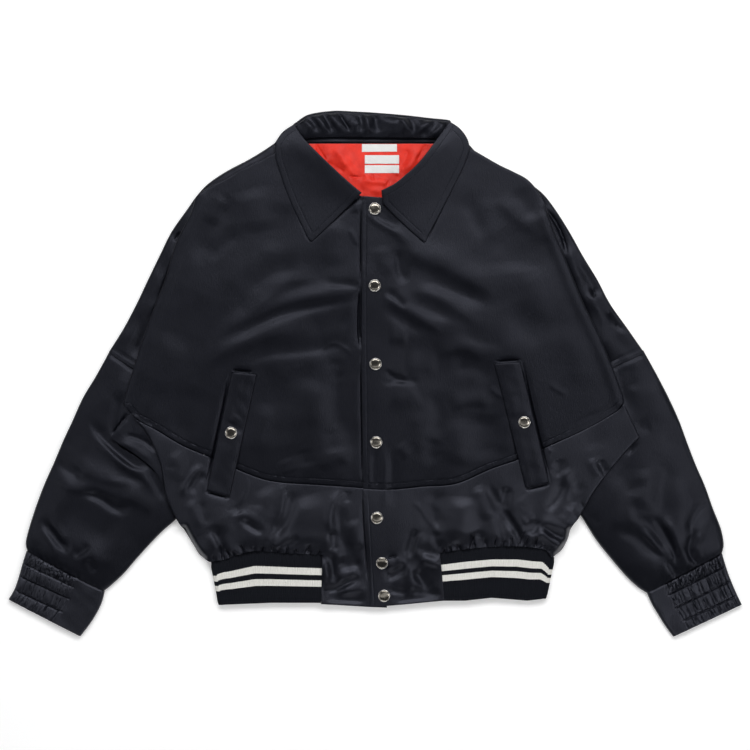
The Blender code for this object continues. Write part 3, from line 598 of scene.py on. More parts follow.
def cut_cloth(outline, step, fine, fine_lines=(), tracks=()):
    """Places and triangles over an outline: closer together along its edge and along some lines.

    A track is a line and a half width: the mesh gets rows of places along it and on both its sides.
    """
    coarse_outline = respaced(closed(outline), 5.0)
    low, high = outline.min(axis=0), outline.max(axis=0)

    def hexagons(size):
        grid = []
        for k, y in enumerate(np.arange(low[1], high[1], size * 0.866)):
            row = np.arange(low[0] + (k % 2) * size / 2, high[0], size)
            grid.append(np.stack([row, np.full(len(row), y)], axis=1))
        grid = np.vstack(grid)
        grid = grid[inside(grid, outline)]
        far = far_from(grid, coarse_outline)
        near_line = np.full(len(grid), np.inf)
        for line in fine_lines:
            near_line = np.minimum(near_line, far_from(grid, line))
        return grid, far, near_line

    wide, far, near = hexagons(step)
    wide = wide[(far > FINE_REACH) & (near > FINE_REACH)]
    close, far, near = hexagons(fine)
    close = close[(far > EDGE_CLEAR) & ((far <= FINE_REACH) | (near <= FINE_REACH))]
    lapped = np.vstack([outline[-1:], closed(outline)])
    rails = np.vstack([np.zeros((0, 2)), *(respaced(moved_left(line, side * half), RAIL_STEP)
                                           for line, half in tracks for side in RAILS)])
    rails = rails[inside(rails, outline)]
    rails = rails[far_from(rails, lapped) > RAIL_CLEAR]
    wide, close = clear_of(wide, rails, 0.5 * step), clear_of(close, rails, 0.9)
    rings = []
    for distance in RINGS:
        ring = moved_left(lapped, distance)[1:-1]
        ring = ring[inside(ring, outline)]
        rings.append(ring[far_from(ring, closed(outline)) > 0.9 * distance])
    places = np.vstack([outline, *rings, rails, close, wide])
    count = len(outline)
    edges = [(k, (k + 1) % count) for k in range(count)]
    found, _, triangles, *_ = delaunay_2d_cdt([Vector(p) for p in places], edges, [], 0, 1e-4)
    found, triangles = np.array(found), np.array(triangles, np.int64)
    triangles = triangles[inside(found[triangles].mean(axis=1), outline)]
    used, renumbered = np.unique(triangles, return_inverse=True)
    return found[used], renumbered.reshape(-1, 3)


def clear_of(places, others, distance):
    """The places that keep a distance from some others."""
    if not len(others):
        return places
    near = KDTree(len(others))
    for k, (x, y) in enumerate(others):
        near.insert((x, y, 0.0), k)
    near.balance()
    return places[[near.find((x, y, 0.0))[2] > distance for x, y in places]]


def closed_sheet(top, bottom, triangles):
    """Points and faces of a sheet with an upper face, a lower face and a rim between them."""
    count = len(top)
    edges = np.vstack([triangles[:, corners] for corners in ([0, 1], [1, 2], [2, 0])])
    there, back = edges @ (count, 1), edges @ (1, count)
    a, b = edges[~np.isin(there, back)].T
    rim = np.vstack([np.stack([b, a, a + count], axis=1), np.stack([b, a + count, b + count], axis=1)])
    return np.vstack([top, bottom]), np.vstack([triangles, triangles[:, ::-1] + count, rim])


CRISP_REACH = 1.3  # how far in the rounding of a pressed seam's edge reaches
CRISP_RUN = 6.0  # and how far from that seam the piece's own rounding is back
RIM = 0.5  # how much of a wall its edge's rounding leaves
THINNEST = 0.3  # but it takes this much at least, and no wall gets thinner than this


class Cloth:
    """A piece cut from flat cloth and laid on what is under it.

    Edge is how far in its rounding reaches and how much of the wall it takes; along a crisp line it is
    short. Ease, how much more cloth there is than its outline holds for the gathers, is not used.
    """

    def __init__(self, name, slot, outline, height, wall=1.2, edge=(3.0, 0.8), step=2.6, fine=1.5, *,
                 replaces, fine_lines=(), tracks=(), crisp=(), clearance=0.25, under=None, low=None,
                 ease=1.0, shade=None):
        self.outline = outline
        xy, triangles = cut_cloth(outline, step, fine, fine_lines, tracks)
        far = far_from(xy, respaced(closed(outline), 3.0))
        far[far_from(xy, closed(outline)) < 1e-3] = 0.0
        z = height(xy)
        thick = wall(xy) if callable(wall) else np.full(len(xy), wall)
        z = np.maximum(z, tops(PILE if under is None else under, xy) + clearance + thick)
        reach = np.full(len(xy), float(edge[0]))
        for line in crisp:
            reach = np.minimum(reach, mix(CRISP_REACH, edge[0], smooth(far_from(xy, line) / CRISP_RUN)))
        top = z - edge_drop(far, reach, np.maximum(thick - RIM, THINNEST) * edge[1])
        bottom = np.minimum(z - thick, top - THINNEST)
        if low is not None:
            bottom = np.maximum(bottom, low)
            top = np.maximum(top, bottom + THINNEST)
        points, faces = closed_sheet(np.column_stack([xy, top]), np.column_stack([xy, bottom]), triangles)
        self.tree = tree_of(points, faces.tolist())
        self.piece = make(name, slot, points, faces, (replaces,))
        if shade is not None:
            self.piece.data.materials[0] = shade

    def height(self, xy):
        return tops([self.tree], xy, np.nan)


def grid_faces(rows, columns, span):
    """Four-sided faces between a grid's places; a span of all the columns joins the last to the first."""
    r, c = np.meshgrid(np.arange(rows - 1), np.arange(span), indexing="ij")
    n = (c + 1) % columns
    corners = [r * columns + c, r * columns + n, (r + 1) * columns + n, (r + 1) * columns + c]
    return np.stack(corners, axis=-1).reshape(-1, 4)


LOWEST_INNER = 0.3  # an inner face stays this far up, and an outer one at 0: nothing sinks into the floor


def shell(name, slot, grid, wall, joined, replaces, material_rows=None):
    """A sheet with a wall's thickness from a grid of places, [row][column], its columns joined or not.
    """
    rows, columns = grid.shape[:2]
    down = np.gradient(grid, axis=0)
    if joined:
        across = (np.roll(grid, -1, axis=1) - np.roll(grid, 1, axis=1)) / 2
    else:
        across = np.gradient(grid, axis=1)
    normal = np.cross(across, down)
    normal /= np.maximum(np.linalg.norm(normal, axis=2, keepdims=True), 1e-9)
    inner = grid - normal * wall
    inner[..., 2] = np.maximum(inner[..., 2], LOWEST_INNER)
    grid = np.dstack([grid[..., :2], np.maximum(grid[..., 2], 0.0)])
    points = np.vstack([grid.reshape(-1, 3), inner.reshape(-1, 3)])
    count = rows * columns
    span = columns if joined else columns - 1

    def rim(a, b):
        return np.stack([a, b, b + count, a + count], axis=1)

    outer = grid_faces(rows, columns, span)
    c = np.arange(span)
    n = (c + 1) % columns
    last = (rows - 1) * columns
    faces = [outer, outer[:, ::-1] + count, rim(n, c), rim(last + c, last + n)]
    if not joined:
        first = np.arange(rows - 1) * columns
        end = first + columns - 1
        faces += [rim(first, first + columns), rim(end + columns, end)]
    index = None
    if material_rows is not None:
        per_row = np.repeat(material_rows, span)
        index = np.concatenate([per_row, per_row, np.zeros(sum(len(f) for f in faces[2:]), int)])
    faces = np.vstack(faces)
    piece = make(name, slot, points, faces, replaces, index, STRIPE)
    return piece, tree_of(points, faces.tolist())


def stitch_row(line, height, pitch=3.2, length=2.4, thick=0.75, sink=0.15, thread=None):
    """Sewing stitches along a line on a surface; height gives the surface at each place."""
    if len(line) < 2:
        return
    run = respaced(line, pitch)
    heading = unit(np.gradient(run, axis=0))
    ends = [run - heading * length / 2, run + heading * length / 2]
    z = [height(e) for e in ends]
    keep = np.isfinite(z[0]) & np.isfinite(z[1])
    row = [(*a, za - sink, *b, zb - sink, thick) for a, b, za, zb, k in zip(*ends, *z, keep) if k]
    THREADS.setdefault(thread or NAVY_THREAD, []).extend(row)


STITCH_PROFILE = [(0.0, 0.25), (0.2, 0.9), (0.5, 1.0), (0.8, 0.9), (1.0, 0.25)]  # along, thickness
STITCH_SIDES = 5


def make_threads():
    """All the stitches as small rounded bars, one piece for each thread."""
    turns = [math.tau * k / STITCH_SIDES for k in range(STITCH_SIDES)]
    bar = grid_faces(len(STITCH_PROFILE), STITCH_SIDES, STITCH_SIDES)
    for (name, slot), stitches in THREADS.items():
        points, faces = [], []
        for ax, ay, az, bx, by, bz, thick in stitches:
            a, b = np.array([ax, ay, az]), np.array([bx, by, bz])
            run = unit(b - a)
            side = np.cross(run, (0, 0, 1.0))
            up = np.cross(side, run)
            arms = [side * math.cos(turn) + up * math.sin(turn) for turn in turns]
            faces.append(bar + len(points))
            points += [mix(a, b, along) + arm * swell * thick / 2 for along, swell in STITCH_PROFILE
                       for arm in arms]
        piece = make(name, slot, points, np.vstack(faces))
        piece.data.materials[0] = THREAD_SHADE[name]


# ---------------------------------------------------------------- sleeves, shoulders and cuffs

SLEEVE = {  # from the cuff to the armhole: outer edge, inner edge, dome
    RIGHT: [
        (-487, -247, -379, -303, 4), (-489, -235, -368, -294, 8), (-484, -214, -352, -279, 10),
        (-475, -186, -333, -257, 9), (-463, -154, -312, -234, 9), (-450, -125, -296, -218, 8),
        (-437, -94, -280, -204, 7), (-424, -66, -266, -187, 5), (-409, -33, -250, -160, 4),
        (-391, -3, -240, -106, 3.5), (-370.6, 34, -244, -50, 1.5),
    ],
    LEFT: [
        (484, -249, 379, -305, 4), (486, -237, 367, -297, 8), (482, -216, 351, -282, 10),
        (471, -188, 332, -260, 9), (460, -157, 311, -234, 9), (447, -127, 298, -214, 8),
        (435, -96, 288, -198, 7), (424, -66, 272, -178, 5), (410, -35, 258, -150, 4),
        (393, -2, 246, -90, 3.5), (373.6, 33, 244, -23, 1.5),
    ],
}
CUFF = {  # from the sleeve to its open end
    RIGHT: [(-487.3, -247.8, -379.3, -303.8, 3), (-493, -266, -383, -318, 2), (-498, -284, -390, -333, 1),
            (-504, -301, -400, -349, 1), (-512, -315, -413, -366, 2)],
    LEFT: [(484.3, -249.8, 379.3, -305.8, 3), (490, -269, 386, -321, 2), (496, -286, 395, -336, 1),
           (504, -305, 405, -352, 1), (512, -322, 416, -367, 2)],
}
SHOULDER = {  # from the collar to the sleeve: outer edge, then how far the top reaches in
    RIGHT: [
        (-131, 330, -112, 312), (-154, 314, -142, 291), (-177, 300, -166, 277), (-209, 283, -199, 257),
        (-234, 266, -219, 243), (-250, 249, -231, 236), (-262, 232, -238, 219), (-285, 199, -257, 186),
        (-302, 165, -267, 150), (-318, 132, -279, 114), (-334, 98, -292, 77), (-352, 64, -304, 38),
        (-373, 30.5, -317, -6.5),
    ],
    LEFT: [
        (127, 325, 115, 306), (143, 308, 134, 290), (163, 294, 150, 272), (186, 283, 175, 261),
        (211, 269, 198, 247), (232, 254, 212, 237), (250, 232, 222, 220), (271, 199, 242, 186),
        (290, 165, 254, 150), (310, 132, 269, 112), (328, 98, 280, 75), (352, 64, 298, 38),
        (376, 29.5, 316, 3.2),
    ],
}
FOLD_RADIUS = 3.75
SHOULDER_UNDER_REACH = 12.0
SATIN_WALL = 0.9
SLEEVE_LENGTH = 330
SLEEVE_MESH, CUFF_MESH = (1.8, 116, 22), (1.15, 140, 36)  # spacing along, places on top and beneath
SLEEVE_TUCK = 2.0  # how far its end is pressed down under the shoulder panel
TUCK_START, TUCK_RUN = 0.965, 0.022  # where, as parts of its length
CUFF_GATHERS, ARMHOLE_GATHERS = (11.0, 1.6, 16.0), (9.0, 0.35, 10.0)  # period, height, reach
GUSSET_LIFT = 0.9  # how far the gusset stands off the sleeve
GUSSET_CREASES = [
    (-345, -64, -361, -86, 3, 1.2), (-360, -93, -335, -105, -309, -124, 3.5, 1.6),
    (-350, -84, -325, -92, -304, -108, 3.5, -1.8),
]

SLEEVE_CREASES = {
    RIGHT: [
        (-322, 104, -334, 52, -344, 8, -349, -12, 8, -4), (-345, -54, -358, -72, -369, -87, 2.6, -2),
        (-369, -91, -345, -105, -320, -121, -300, -141, 2.6, -2.2),
        (-352, -22, -360, -55, -371, -92, 7, -3.2),
        (-404, -56, -391, -75, -373, -97, -352, -116, -331, -129, -312, -127, 5, -4.2),
        (-392, -84, -372, -106, -350, -126, -322, -144, -300, -168, 6, 2.6),
        (-320, -132, -308, -152, -292, -178, 4, -2.4), (-449, -120, -431, -132, -410, -146, 7, -3.4),
        (-428, -116, -398, -138, -366, -148, -340, -150, 8, 2.4),
        (-455, -138, -424, -158, -388, -162, -350, -176, 7, 2.6),
        (-412, -164, -386, -172, -362, -188, -342, -194, 6, -3.4),
        (-372, -140, -345, -143, -318, -152, 8, -1.6), (-356, -166, -330, -178, -306, -192, 8, 2),
        (-440, -178, -400, -205, -350, -232, 22, -3), (-418, -246, -380, -258, -335, -232, 12, 2.4),
        (-468, -200, -453, -219, -440, -236, -426, -250, 4.6, -4.4),
        (-470, -212, -457, -230, -447, -246, -446, -262, 2.4, 1.8),
        (-458, -204, -443, -220, -430, -238, 4, 1.6), (-422, -254, -409, -248, -398, -238, 4, -2),
        (-402, -256, -396, -266, -390, -278, 4, -1.6), (-387, -10, -378, 2, -369, 20, 2, 1.2),
        (-420, -30, -385, -40, -368, -28, 13, 2.2), (-470, -180, -476, -215, -470, -240, 7, 1.6),
        (-412, -78, -432, -104, 10, -1.6),
    ],
    LEFT: [
        (303, 66, 318, 34, 334, 10, 344, -20, 352, -44, 362, -64, 8, -4), (350, -100, 360, -110, 6, -2.4),
        (364, -64, 374, -76, 386, -74, 7, -1.2), (352, 14, 356, -6, 362, -24, 7, -2),
        (376, 26, 392, -4, 4, 1.2), (390, -10, 400, -40, 405, -70, 13, 2.4),
        (412, -112, 404, -140, 398, -168, 404, -198, 414, -212, 12, -3.4),
        (375, -130, 378, -165, 372, -190, 15, 2.2), (440, -140, 432, -170, 424, -205, 428, -245, 11, 2.8),
        (366, -196, 384, -212, 400, -232, 412, -250, 7, -3.2),
        (385, -196, 404, -222, 416, -248, 423, -276, 4, -3.2), (398, -200, 414, -226, 424, -254, 4.5, 2.2),
        (368, -216, 386, -234, 404, -254, 4, 2.2), (334, -219, 360, -226, 384, -246, 412, -258, 8, -2.8),
        (324, -200, 350, -204, 366, -200, 13, 2), (345, -262, 372, -276, 392, -286, 13, 2.4),
        (470, -180, 454, -188, 442, -204, 435, -224, 4.5, -2.8),
        (478, -196, 464, -206, 454, -220, 450, -238, 5, 2.2),
        (449, -216, 440, -232, 437, -246, 443, -259, 454, -266, 4, -3.6),
        (455, -222, 447, -236, 446, -250, 4, 1.4), (406, -258, 413, -270, 421, -284, 4, -2.6),
        (462, -160, 446, -176, 434, -182, 6, 1.6), (330, -130, 352, -150, 366, -172, 14, -1.8),
        (300, -196, 312, -212, 4, -1.2), (400, -84, 420, -96, 438, -98, 9, -1.6),
    ],
}


def columns_across(width, count):
    """Distances across a flat tube, closer together at both folds."""
    part = np.linspace(0, 1, count)
    return width * (0.35 * part + 0.65 * (0.5 - 0.5 * np.cos(math.pi * part)))


TUBE_ARCH = 0.7  # below 1, a tube's top is flatter in its middle and steeper at its folds
FOLD_FADE = 7.0  # about how far from its folds its relief is full
LOWEST_TOP, TUBE_HOLLOW = 3.0, 2.0  # the lowest that its top lies, and the least between top and underside


def tube(stations, along_step, top_count, under_count, top_relief, under_relief, table=()):
    """A flattened tube as a closed grid: its ring runs over the top from outer to inner, then beneath."""
    stations = np.array(stations, float)
    count = len(curve(stations[:, :2], along_step))
    along = lengths_along(stations[:, :2])
    parts = np.interp(np.linspace(0, 1, count), along / along[-1], np.arange(len(stations)))
    grid = []
    for row in curve_by_index(stations, parts):
        outer, inner, dome = row[:2], row[2:4], row[4]
        width = math.hypot(*(inner - outer))
        across = np.concatenate([columns_across(width, top_count),
                                 columns_across(width, under_count)[-2:0:-1]])
        xy = mix(outer, inner, (across / width)[:, None])
        grid.append(np.column_stack([xy, across, np.full(len(across), width), np.full(len(across), dome)]))
    grid = np.array(grid)
    flat = grid.reshape(-1, 5)
    xy, across, width, dome = flat[:, :2], flat[:, 2], flat[:, 3], flat[:, 4]
    edge = np.minimum(across, width - across)
    radius = FOLD_RADIUS
    bend = np.sqrt(np.maximum(radius**2 - (radius - np.minimum(edge, radius)) ** 2, 0))
    arch = np.sin(math.pi * np.clip(across / width, 0, 1)) ** TUBE_ARCH
    rise = smooth(0.4 + dome / 7) * arch
    is_top = np.tile(np.arange(grid.shape[1]) < top_count, count)
    row = np.repeat(np.arange(count) / (count - 1), grid.shape[1])
    fade = smooth((edge - 0.5) / FOLD_FADE)
    z_top = radius + bend + dome * arch + creases(xy, table) * rise
    z_top = z_top + top_relief(xy, across, width, row) * fade
    z_under = radius - bend + np.maximum(under_relief(xy, across, width, row), 0) * fade
    z = np.where(is_top, np.maximum(z_top, LOWEST_TOP + bend * 0.4), np.minimum(z_under, z_top - TUBE_HOLLOW))
    return np.column_stack([xy, z]).reshape(count, -1, 3)


def make_sleeve(side, seed):
    """A flat tube, gathered at its cuff and pressed down under the shoulder panel."""
    def top(xy, across, width, row):
        soft = 0.8 * ripple(xy, 110, seed) + 0.12 * ripple(xy, 40, seed + 1)
        at_cuff = gathers(row * SLEEVE_LENGTH, across, seed + 2, *CUFF_GATHERS)
        at_top = gathers((1 - row) * SLEEVE_LENGTH, across, seed + 3, *ARMHOLE_GATHERS)
        return soft + at_cuff + at_top - SLEEVE_TUCK * smooth((row - TUCK_START) / TUCK_RUN)

    def under(xy, across, width, row):
        return 0.5 + 0.5 * ripple(xy, 60, seed + 4)

    grid = tube(SLEEVE[side], *SLEEVE_MESH, top, under, SLEEVE_CREASES[side])
    _, tree = shell(f"sleeve_cloth_{side}", "satin", grid, SATIN_WALL, True, (f"sleeve_{side}",))
    PILE.append(tree)


SHIRR = {  # rows of elastic on a cuff, as parts of its length, and the part of its width that is shirred
    RIGHT: ((0.24, 0.50, 0.78), 0.67),
    LEFT: ((0.25, 0.53, 0.81), 0.81),
}
FIRST_BAND, OTHER_BANDS = (4.4, 5.0), (2.8, 1.3)  # how high the pleats between rows puff, and their sway
PLEAT_PITCH = 6.0
ROW_STITCH = (3.0, 2.0, 0.9)  # pitch, length, thickness
ROW_DEPTH, ROW_WIDTH = 2.0, 0.014  # the groove along a row, its width as a part of the cuff's length


def make_cuff(side, seed):
    rows, reach = SHIRR[side]

    def shirring(across, width, row):
        """Fine pleats that puff out between the rows of elastic, and a crumpled first band."""
        shirred = smooth((reach - across / width) * 12)
        stops = (0.0, *rows, 1.0)
        total = np.zeros(len(across))
        for number, (low, high) in enumerate(zip(stops, stops[1:])):
            part = np.clip((row - low) / (high - low), 0, 1)
            held = (row >= low) & (row <= high)
            size, sway = FIRST_BAND if number == 0 else OTHER_BANDS
            phase = across / PLEAT_PITCH * math.pi + 2.6 * wander(across, seed + number, 22)
            phase += sway * 0.5 * np.sin(2 * part + 4 * wander(across, seed + 4, 15))
            valley = np.abs(np.sin(phase)) ** 0.45 * (0.65 + 0.35 * wander(across, seed + 9 + number, 11))
            puff = 0.35 + 0.65 * np.sin(math.pi * part)
            total += np.where(held, (size * valley * puff - 0.5 * size) * shirred, 0)
        for stop in rows:
            total -= ROW_DEPTH * bell(row - stop, ROW_WIDTH, 4) * shirred
        return total

    def top(xy, across, width, row):
        plain = 0.4 * ripple(xy, 30, seed + 20)
        return shirring(across, width, row) + plain - 1.4 * bell(row, 0.03)

    def under(xy, across, width, row):
        return 0.5 + 0.6 * shirring(across, width, row)

    grid = tube(CUFF[side], *CUFF_MESH, top, under)
    piece, tree = shell(f"cuff_cloth_{side}", "satin", grid, SATIN_WALL, True, (f"cuff_{side}",))
    # a shinier satin on the cuff: painted light that brightens it under the same lamps
    piece.data.materials[0] = SATIN_CUFF_LIT
    PILE.append(tree)
    stations = np.array(CUFF[side], float)
    length = lengths_along(stations[:, :2])
    for stop in rows:
        at = np.interp(stop, length / length[-1], np.arange(len(stations)))
        station = curve_by_index(stations, np.array([at]))[0]
        line = np.array([mix(station[:2], station[2:4], part) for part in (0.035, reach - 0.01)])
        stitch_row(line, lambda xy: tops([tree], xy, np.nan), *ROW_STITCH)


SHOULDER_CREASES = [
    (-150, 306, -190, 284, -224, 262, 5, 1.4), (-246, 250, -236, 242, -226, 234, 5, -2),
    (-247, 238, -262, 214, -274, 190, 3, 1.3), (-272, 198, -280, 186, 3.5, -1.8),
    (-278, 178, -296, 140, -312, 104, 4, 1.4), (-270, 170, -288, 122, -304, 80, 4, -1.6),
    (-304, 110, -322, 74, -340, 40, 5, 1.6), (-330, 76, -346, 44, -362, 22, 2.2, 1),
    (-316, 96, -328, 54, -338, 18, 7, -3.4), (150, 300, 180, 282, 205, 264, 5, 1.4),
    (222, 252, 232, 240, 236, 228, 4, -1.6), (236, 232, 252, 212, 262, 190, 268, 164, 3, -2),
    (244, 236, 262, 208, 272, 180, 3, 1.3), (240, 222, 250, 200, 258, 176, 3, 1.2),
    (268, 178, 276, 150, 290, 122, 4.5, 1.6), (282, 158, 300, 128, 312, 106, 4, -1.3),
    (302, 120, 306, 108, 3, -1.8), (296, 116, 312, 86, 326, 60, 6, 1.8),
    (258, 152, 272, 118, 288, 84, 302, 52, 5, -2.6), (322, 92, 334, 72, 350, 58, 3, -1.2),
    (306, 40, 318, 22, 326, 8, 8, -3.4),
]


def fold_section(under, above):
    """The section of a folded sheet: how far out its lower leg's places are, the fold, its upper leg."""
    turn = np.radians(np.linspace(-90, 90, 13))
    fold = FOLD_RADIUS + FOLD_RADIUS * np.column_stack([-np.cos(turn), np.sin(turn)])
    return np.vstack([np.column_stack([under, np.zeros(len(under))]), fold, above])


SHOULDER_STEP = 2.6
SHOULDER_PUFF = 1.3
CROSS_SEAM = (0.9, 8, 1.2)  # the seam near its sleeve end: depth, how far from the end, half width


def make_shoulder(side, seed):
    """The panel folded over the top of the sleeve: a short leg beneath, the fold, the leg on top."""
    every = stations_along(SHOULDER[side], SHOULDER_STEP)
    grid = []
    for k, row in enumerate(every):
        outer, reach = row[:2], row[2:4]
        width = math.hypot(*(reach - outer))
        above = np.linspace(FOLD_RADIUS, width, 20)[1:]
        section = fold_section(np.linspace(SHOULDER_UNDER_REACH, FOLD_RADIUS, 5)[:-1],
                               np.column_stack([above, np.full(19, 2 * FOLD_RADIUS)]))
        xy = mix(outer, reach, (section[:, 0] / width)[:, None])
        puff = SHOULDER_PUFF * np.sin(math.pi * np.clip((section[:, 0] - 1) / width, 0, 1))
        lift = creases(xy, SHOULDER_CREASES) + 0.8 * ripple(xy, 42, seed) + puff
        on_top = smooth((section[:, 1] - FOLD_RADIUS) / FOLD_RADIUS)
        from_end = (len(every) - 1 - k) * SHOULDER_STEP
        depth, place, half = CROSS_SEAM
        z = section[:, 1] + (lift - depth * bell(from_end - place, half)) * on_top
        grid.append(np.column_stack([xy, z]))
    grid = np.array(grid)[:, ::-1] if side == RIGHT else np.array(grid)
    _, tree = shell(f"shoulder_cloth_{side}", "satin", grid, SATIN_WALL, False, (f"shoulder_{side}",))
    PILE.append(tree)


# ---------------------------------------------------------------- knit hem band

HEM_SEAM = {
    RIGHT: [(-231, -262), (-208, -258), (-171, -247), (-121, -250), (-74, -252)],
    LEFT: [(90, -250), (125, -244), (162, -241), (200, -240), (237, -245), (246, -256)],
}
HEM_SIDE = {RIGHT: [(-229, -262), (-218, -322)], LEFT: [(249, -256), (237, -313)]}
HEM_END = {RIGHT: [(-74.6, -252), (-76.6, -321)], LEFT: [(90.6, -250), (96.6, -316)]}
HEM_FREE = {
    RIGHT: [(-218, -322), (-146, -319), (-76, -319)],
    LEFT: [(99, -316), (125, -316), (162, -312), (212, -316), (237, -313)],
}
HEM_LAP = 4.0
HEM_BACK_SEAM = -255.3
HEM_BACK_FREE = {RIGHT: -316.0, LEFT: -309.0}
KNIT_WALL = 2.0
BAND_FRONT_Z, BAND_BACK_Z = 9.6, 0.2  # outer face, in front and beneath
RIB_PITCH = 3.6
STRIPE_ROWS = {  # where the two stripes begin and end, down the band
    RIGHT: (0.322, 0.457, 0.560, 0.684), LEFT: (0.289, 0.416, 0.497, 0.617),
}
BAND_ROWS = sorted((0, 0.06, 0.12, 0.18, 0.25, 0.37, 0.41, 0.6, 0.64, 0.74, 0.8, 0.86, 0.92, 0.97, 1.0,
                    *STRIPE_ROWS[RIGHT]))
RIB_COLUMNS = 6  # to a rib
RIB_DEPTH = 0.45
SEAM_DIP, EDGE_DIP = 1.2, 0.6  # how far the band sinks at its seam and at its free edge
BAND_WAVES = [(0.35, 47, 3), (0.25, 23, 5)]  # slow waves along it: height, length, slant
BAND_TURN = np.linspace(-85, 85, 16)  # degrees, round a side


def band_places():
    """The places along the strip of rib knit: at its seam, at its free edge, and the way out from it.

    It runs over the right front, round the side, across the back, round again and over the left front.
    """
    half = (BAND_FRONT_Z - BAND_BACK_Z) / 2
    middle = (BAND_FRONT_Z + BAND_BACK_Z) / 2
    places = []

    def front(side, start, end):
        (ex, _), (fx, _) = HEM_END[side]
        (sx, _), (tx, _) = HEM_SIDE[side]
        shift = -OUTWARD[side] * half
        seam, free = np.array(sorted(HEM_SEAM[side])), np.array(sorted(HEM_FREE[side]))
        for part in np.linspace(start, end, int(abs(sx - ex) / RIB_PITCH * RIB_COLUMNS)):
            x_top, x_free = mix(ex, sx + shift, part), mix(fx, tx + shift, part)
            y_top = np.interp(x_top, seam[:, 0], seam[:, 1]) + HEM_LAP * smooth((1 - part) * 8 + 0.4)
            y_free = np.interp(x_free, free[:, 0], free[:, 1])
            places.append((x_top, y_top, BAND_FRONT_Z, x_free, y_free, BAND_FRONT_Z, 0, 0, 1))

    def turn(side, angles):
        (sx, sy), (tx, ty) = HEM_SIDE[side]
        out = OUTWARD[side]
        for angle in np.radians(angles):
            c, s = math.cos(angle), math.sin(angle)
            shift, z = out * half * (c - 1), middle + half * s
            low = smooth((math.degrees(-angle)) / 90)
            places.append((sx + shift, mix(sy, HEM_BACK_SEAM, low), z,
                           tx + shift, mix(ty, HEM_BACK_FREE[side], low), z, out * c, 0, s))

    def back():
        (rx, _), (rfx, _) = HEM_SIDE[RIGHT]
        (lx, _), (lfx, _) = HEM_SIDE[LEFT]
        for part in np.linspace(0, 1, int((lx - rx) / RIB_PITCH * RIB_COLUMNS)):
            y_free = mix(HEM_BACK_FREE[RIGHT], HEM_BACK_FREE[LEFT], part)
            places.append((mix(rx + half, lx - half, part), HEM_BACK_SEAM, BAND_BACK_Z,
                           mix(rfx + half, lfx - half, part), y_free, BAND_BACK_Z, 0, 0, -1))

    front(RIGHT, 0.0, 1.0)
    turn(RIGHT, BAND_TURN[::-1])
    back()
    turn(LEFT, BAND_TURN)
    front(LEFT, 1.0, 0.0)
    return np.hsplit(np.array(places), 3)


def make_hem_band():
    """One ribbed strip. Its stripes lie a little higher up on the left, so its rows shift on the way."""
    top, free, out = band_places()
    along = lengths_along(top)
    phase = along / RIB_PITCH * math.tau + 0.9 * wander(along, 3, 60)
    rib = np.sign(np.sin(phase)) * np.abs(np.sin(phase)) ** 0.6
    grid = []
    to_left = smooth((top[:, 0] + 60) / 120)
    for row in BAND_ROWS:
        down = mix(row, np.interp(row, (0, *STRIPE_ROWS[RIGHT], 1), (0, *STRIPE_ROWS[LEFT], 1)), to_left)
        depth = RIB_DEPTH * smooth(down * 9) * smooth((1.02 - down) * 14)
        swell = -SEAM_DIP * (1 - smooth(down * 7)) - EDGE_DIP * smooth((down - 0.93) * 14)
        wave = sum(size * np.sin(along / length + lean * down) for size, length, lean in BAND_WAVES)
        lift = depth * rib + swell + wave * smooth(down * 4)
        lift = np.where(out[:, 2] < -0.5, np.minimum(lift, 0.1), lift)
        grid.append(mix(top, free, down[:, None]) + out * lift[:, None])
    a, b, c, d = STRIPE_ROWS[RIGHT]
    stripes = [int(a <= row < b or c <= row < d) for row in BAND_ROWS[:-1]]
    _, tree = shell("hem_knit", "knit", np.array(grid)[:, ::-1], KNIT_WALL, False,
                    ("hem_rib_right", "hem_rib_back", "hem_rib_left"),
                    material_rows=np.array(stripes))
    PILE.append(tree)


# ---------------------------------------------------------------- fronts

YOKE_ENDS = {RIGHT: ((-346, -49), (16, -160)), LEFT: ((346, -41), (-17, -160))}
SIDE_PINNED = {  # the stretch of the side that turns down onto the back
    RIGHT: [(-267, -216), (-255, -238), (-243, -255), (-240, -258)],
    LEFT: [(272, -219), (269, -230), (257, -249), (253, -253)],
}
FOLDED_EDGES = {
    RIGHT: [
        [(-116, 321), (-144, 307), (-191, 283), (-241, 255)],
        [(-251, 246), (-258, 223), (-278, 183), (-292, 136), (-312, 83), (-330, 31), (-352, -41)],
        [(-334, -63), (-318, -83), (-306, -107), (-298, -130), (-291, -171), (-280, -197)],
    ],
    LEFT: [
        [(116, 324), (134, 314), (174, 291), (211, 272), (230, 249)],
        [(239, 227), (254, 186), (267, 155), (290, 99), (314, 49), (331, 8), (346, -34)],
        [(346, -41), (368, -88)], [(368, -88), (349, -108), (323, -139), (300, -171), (286, -196)],
    ],
}
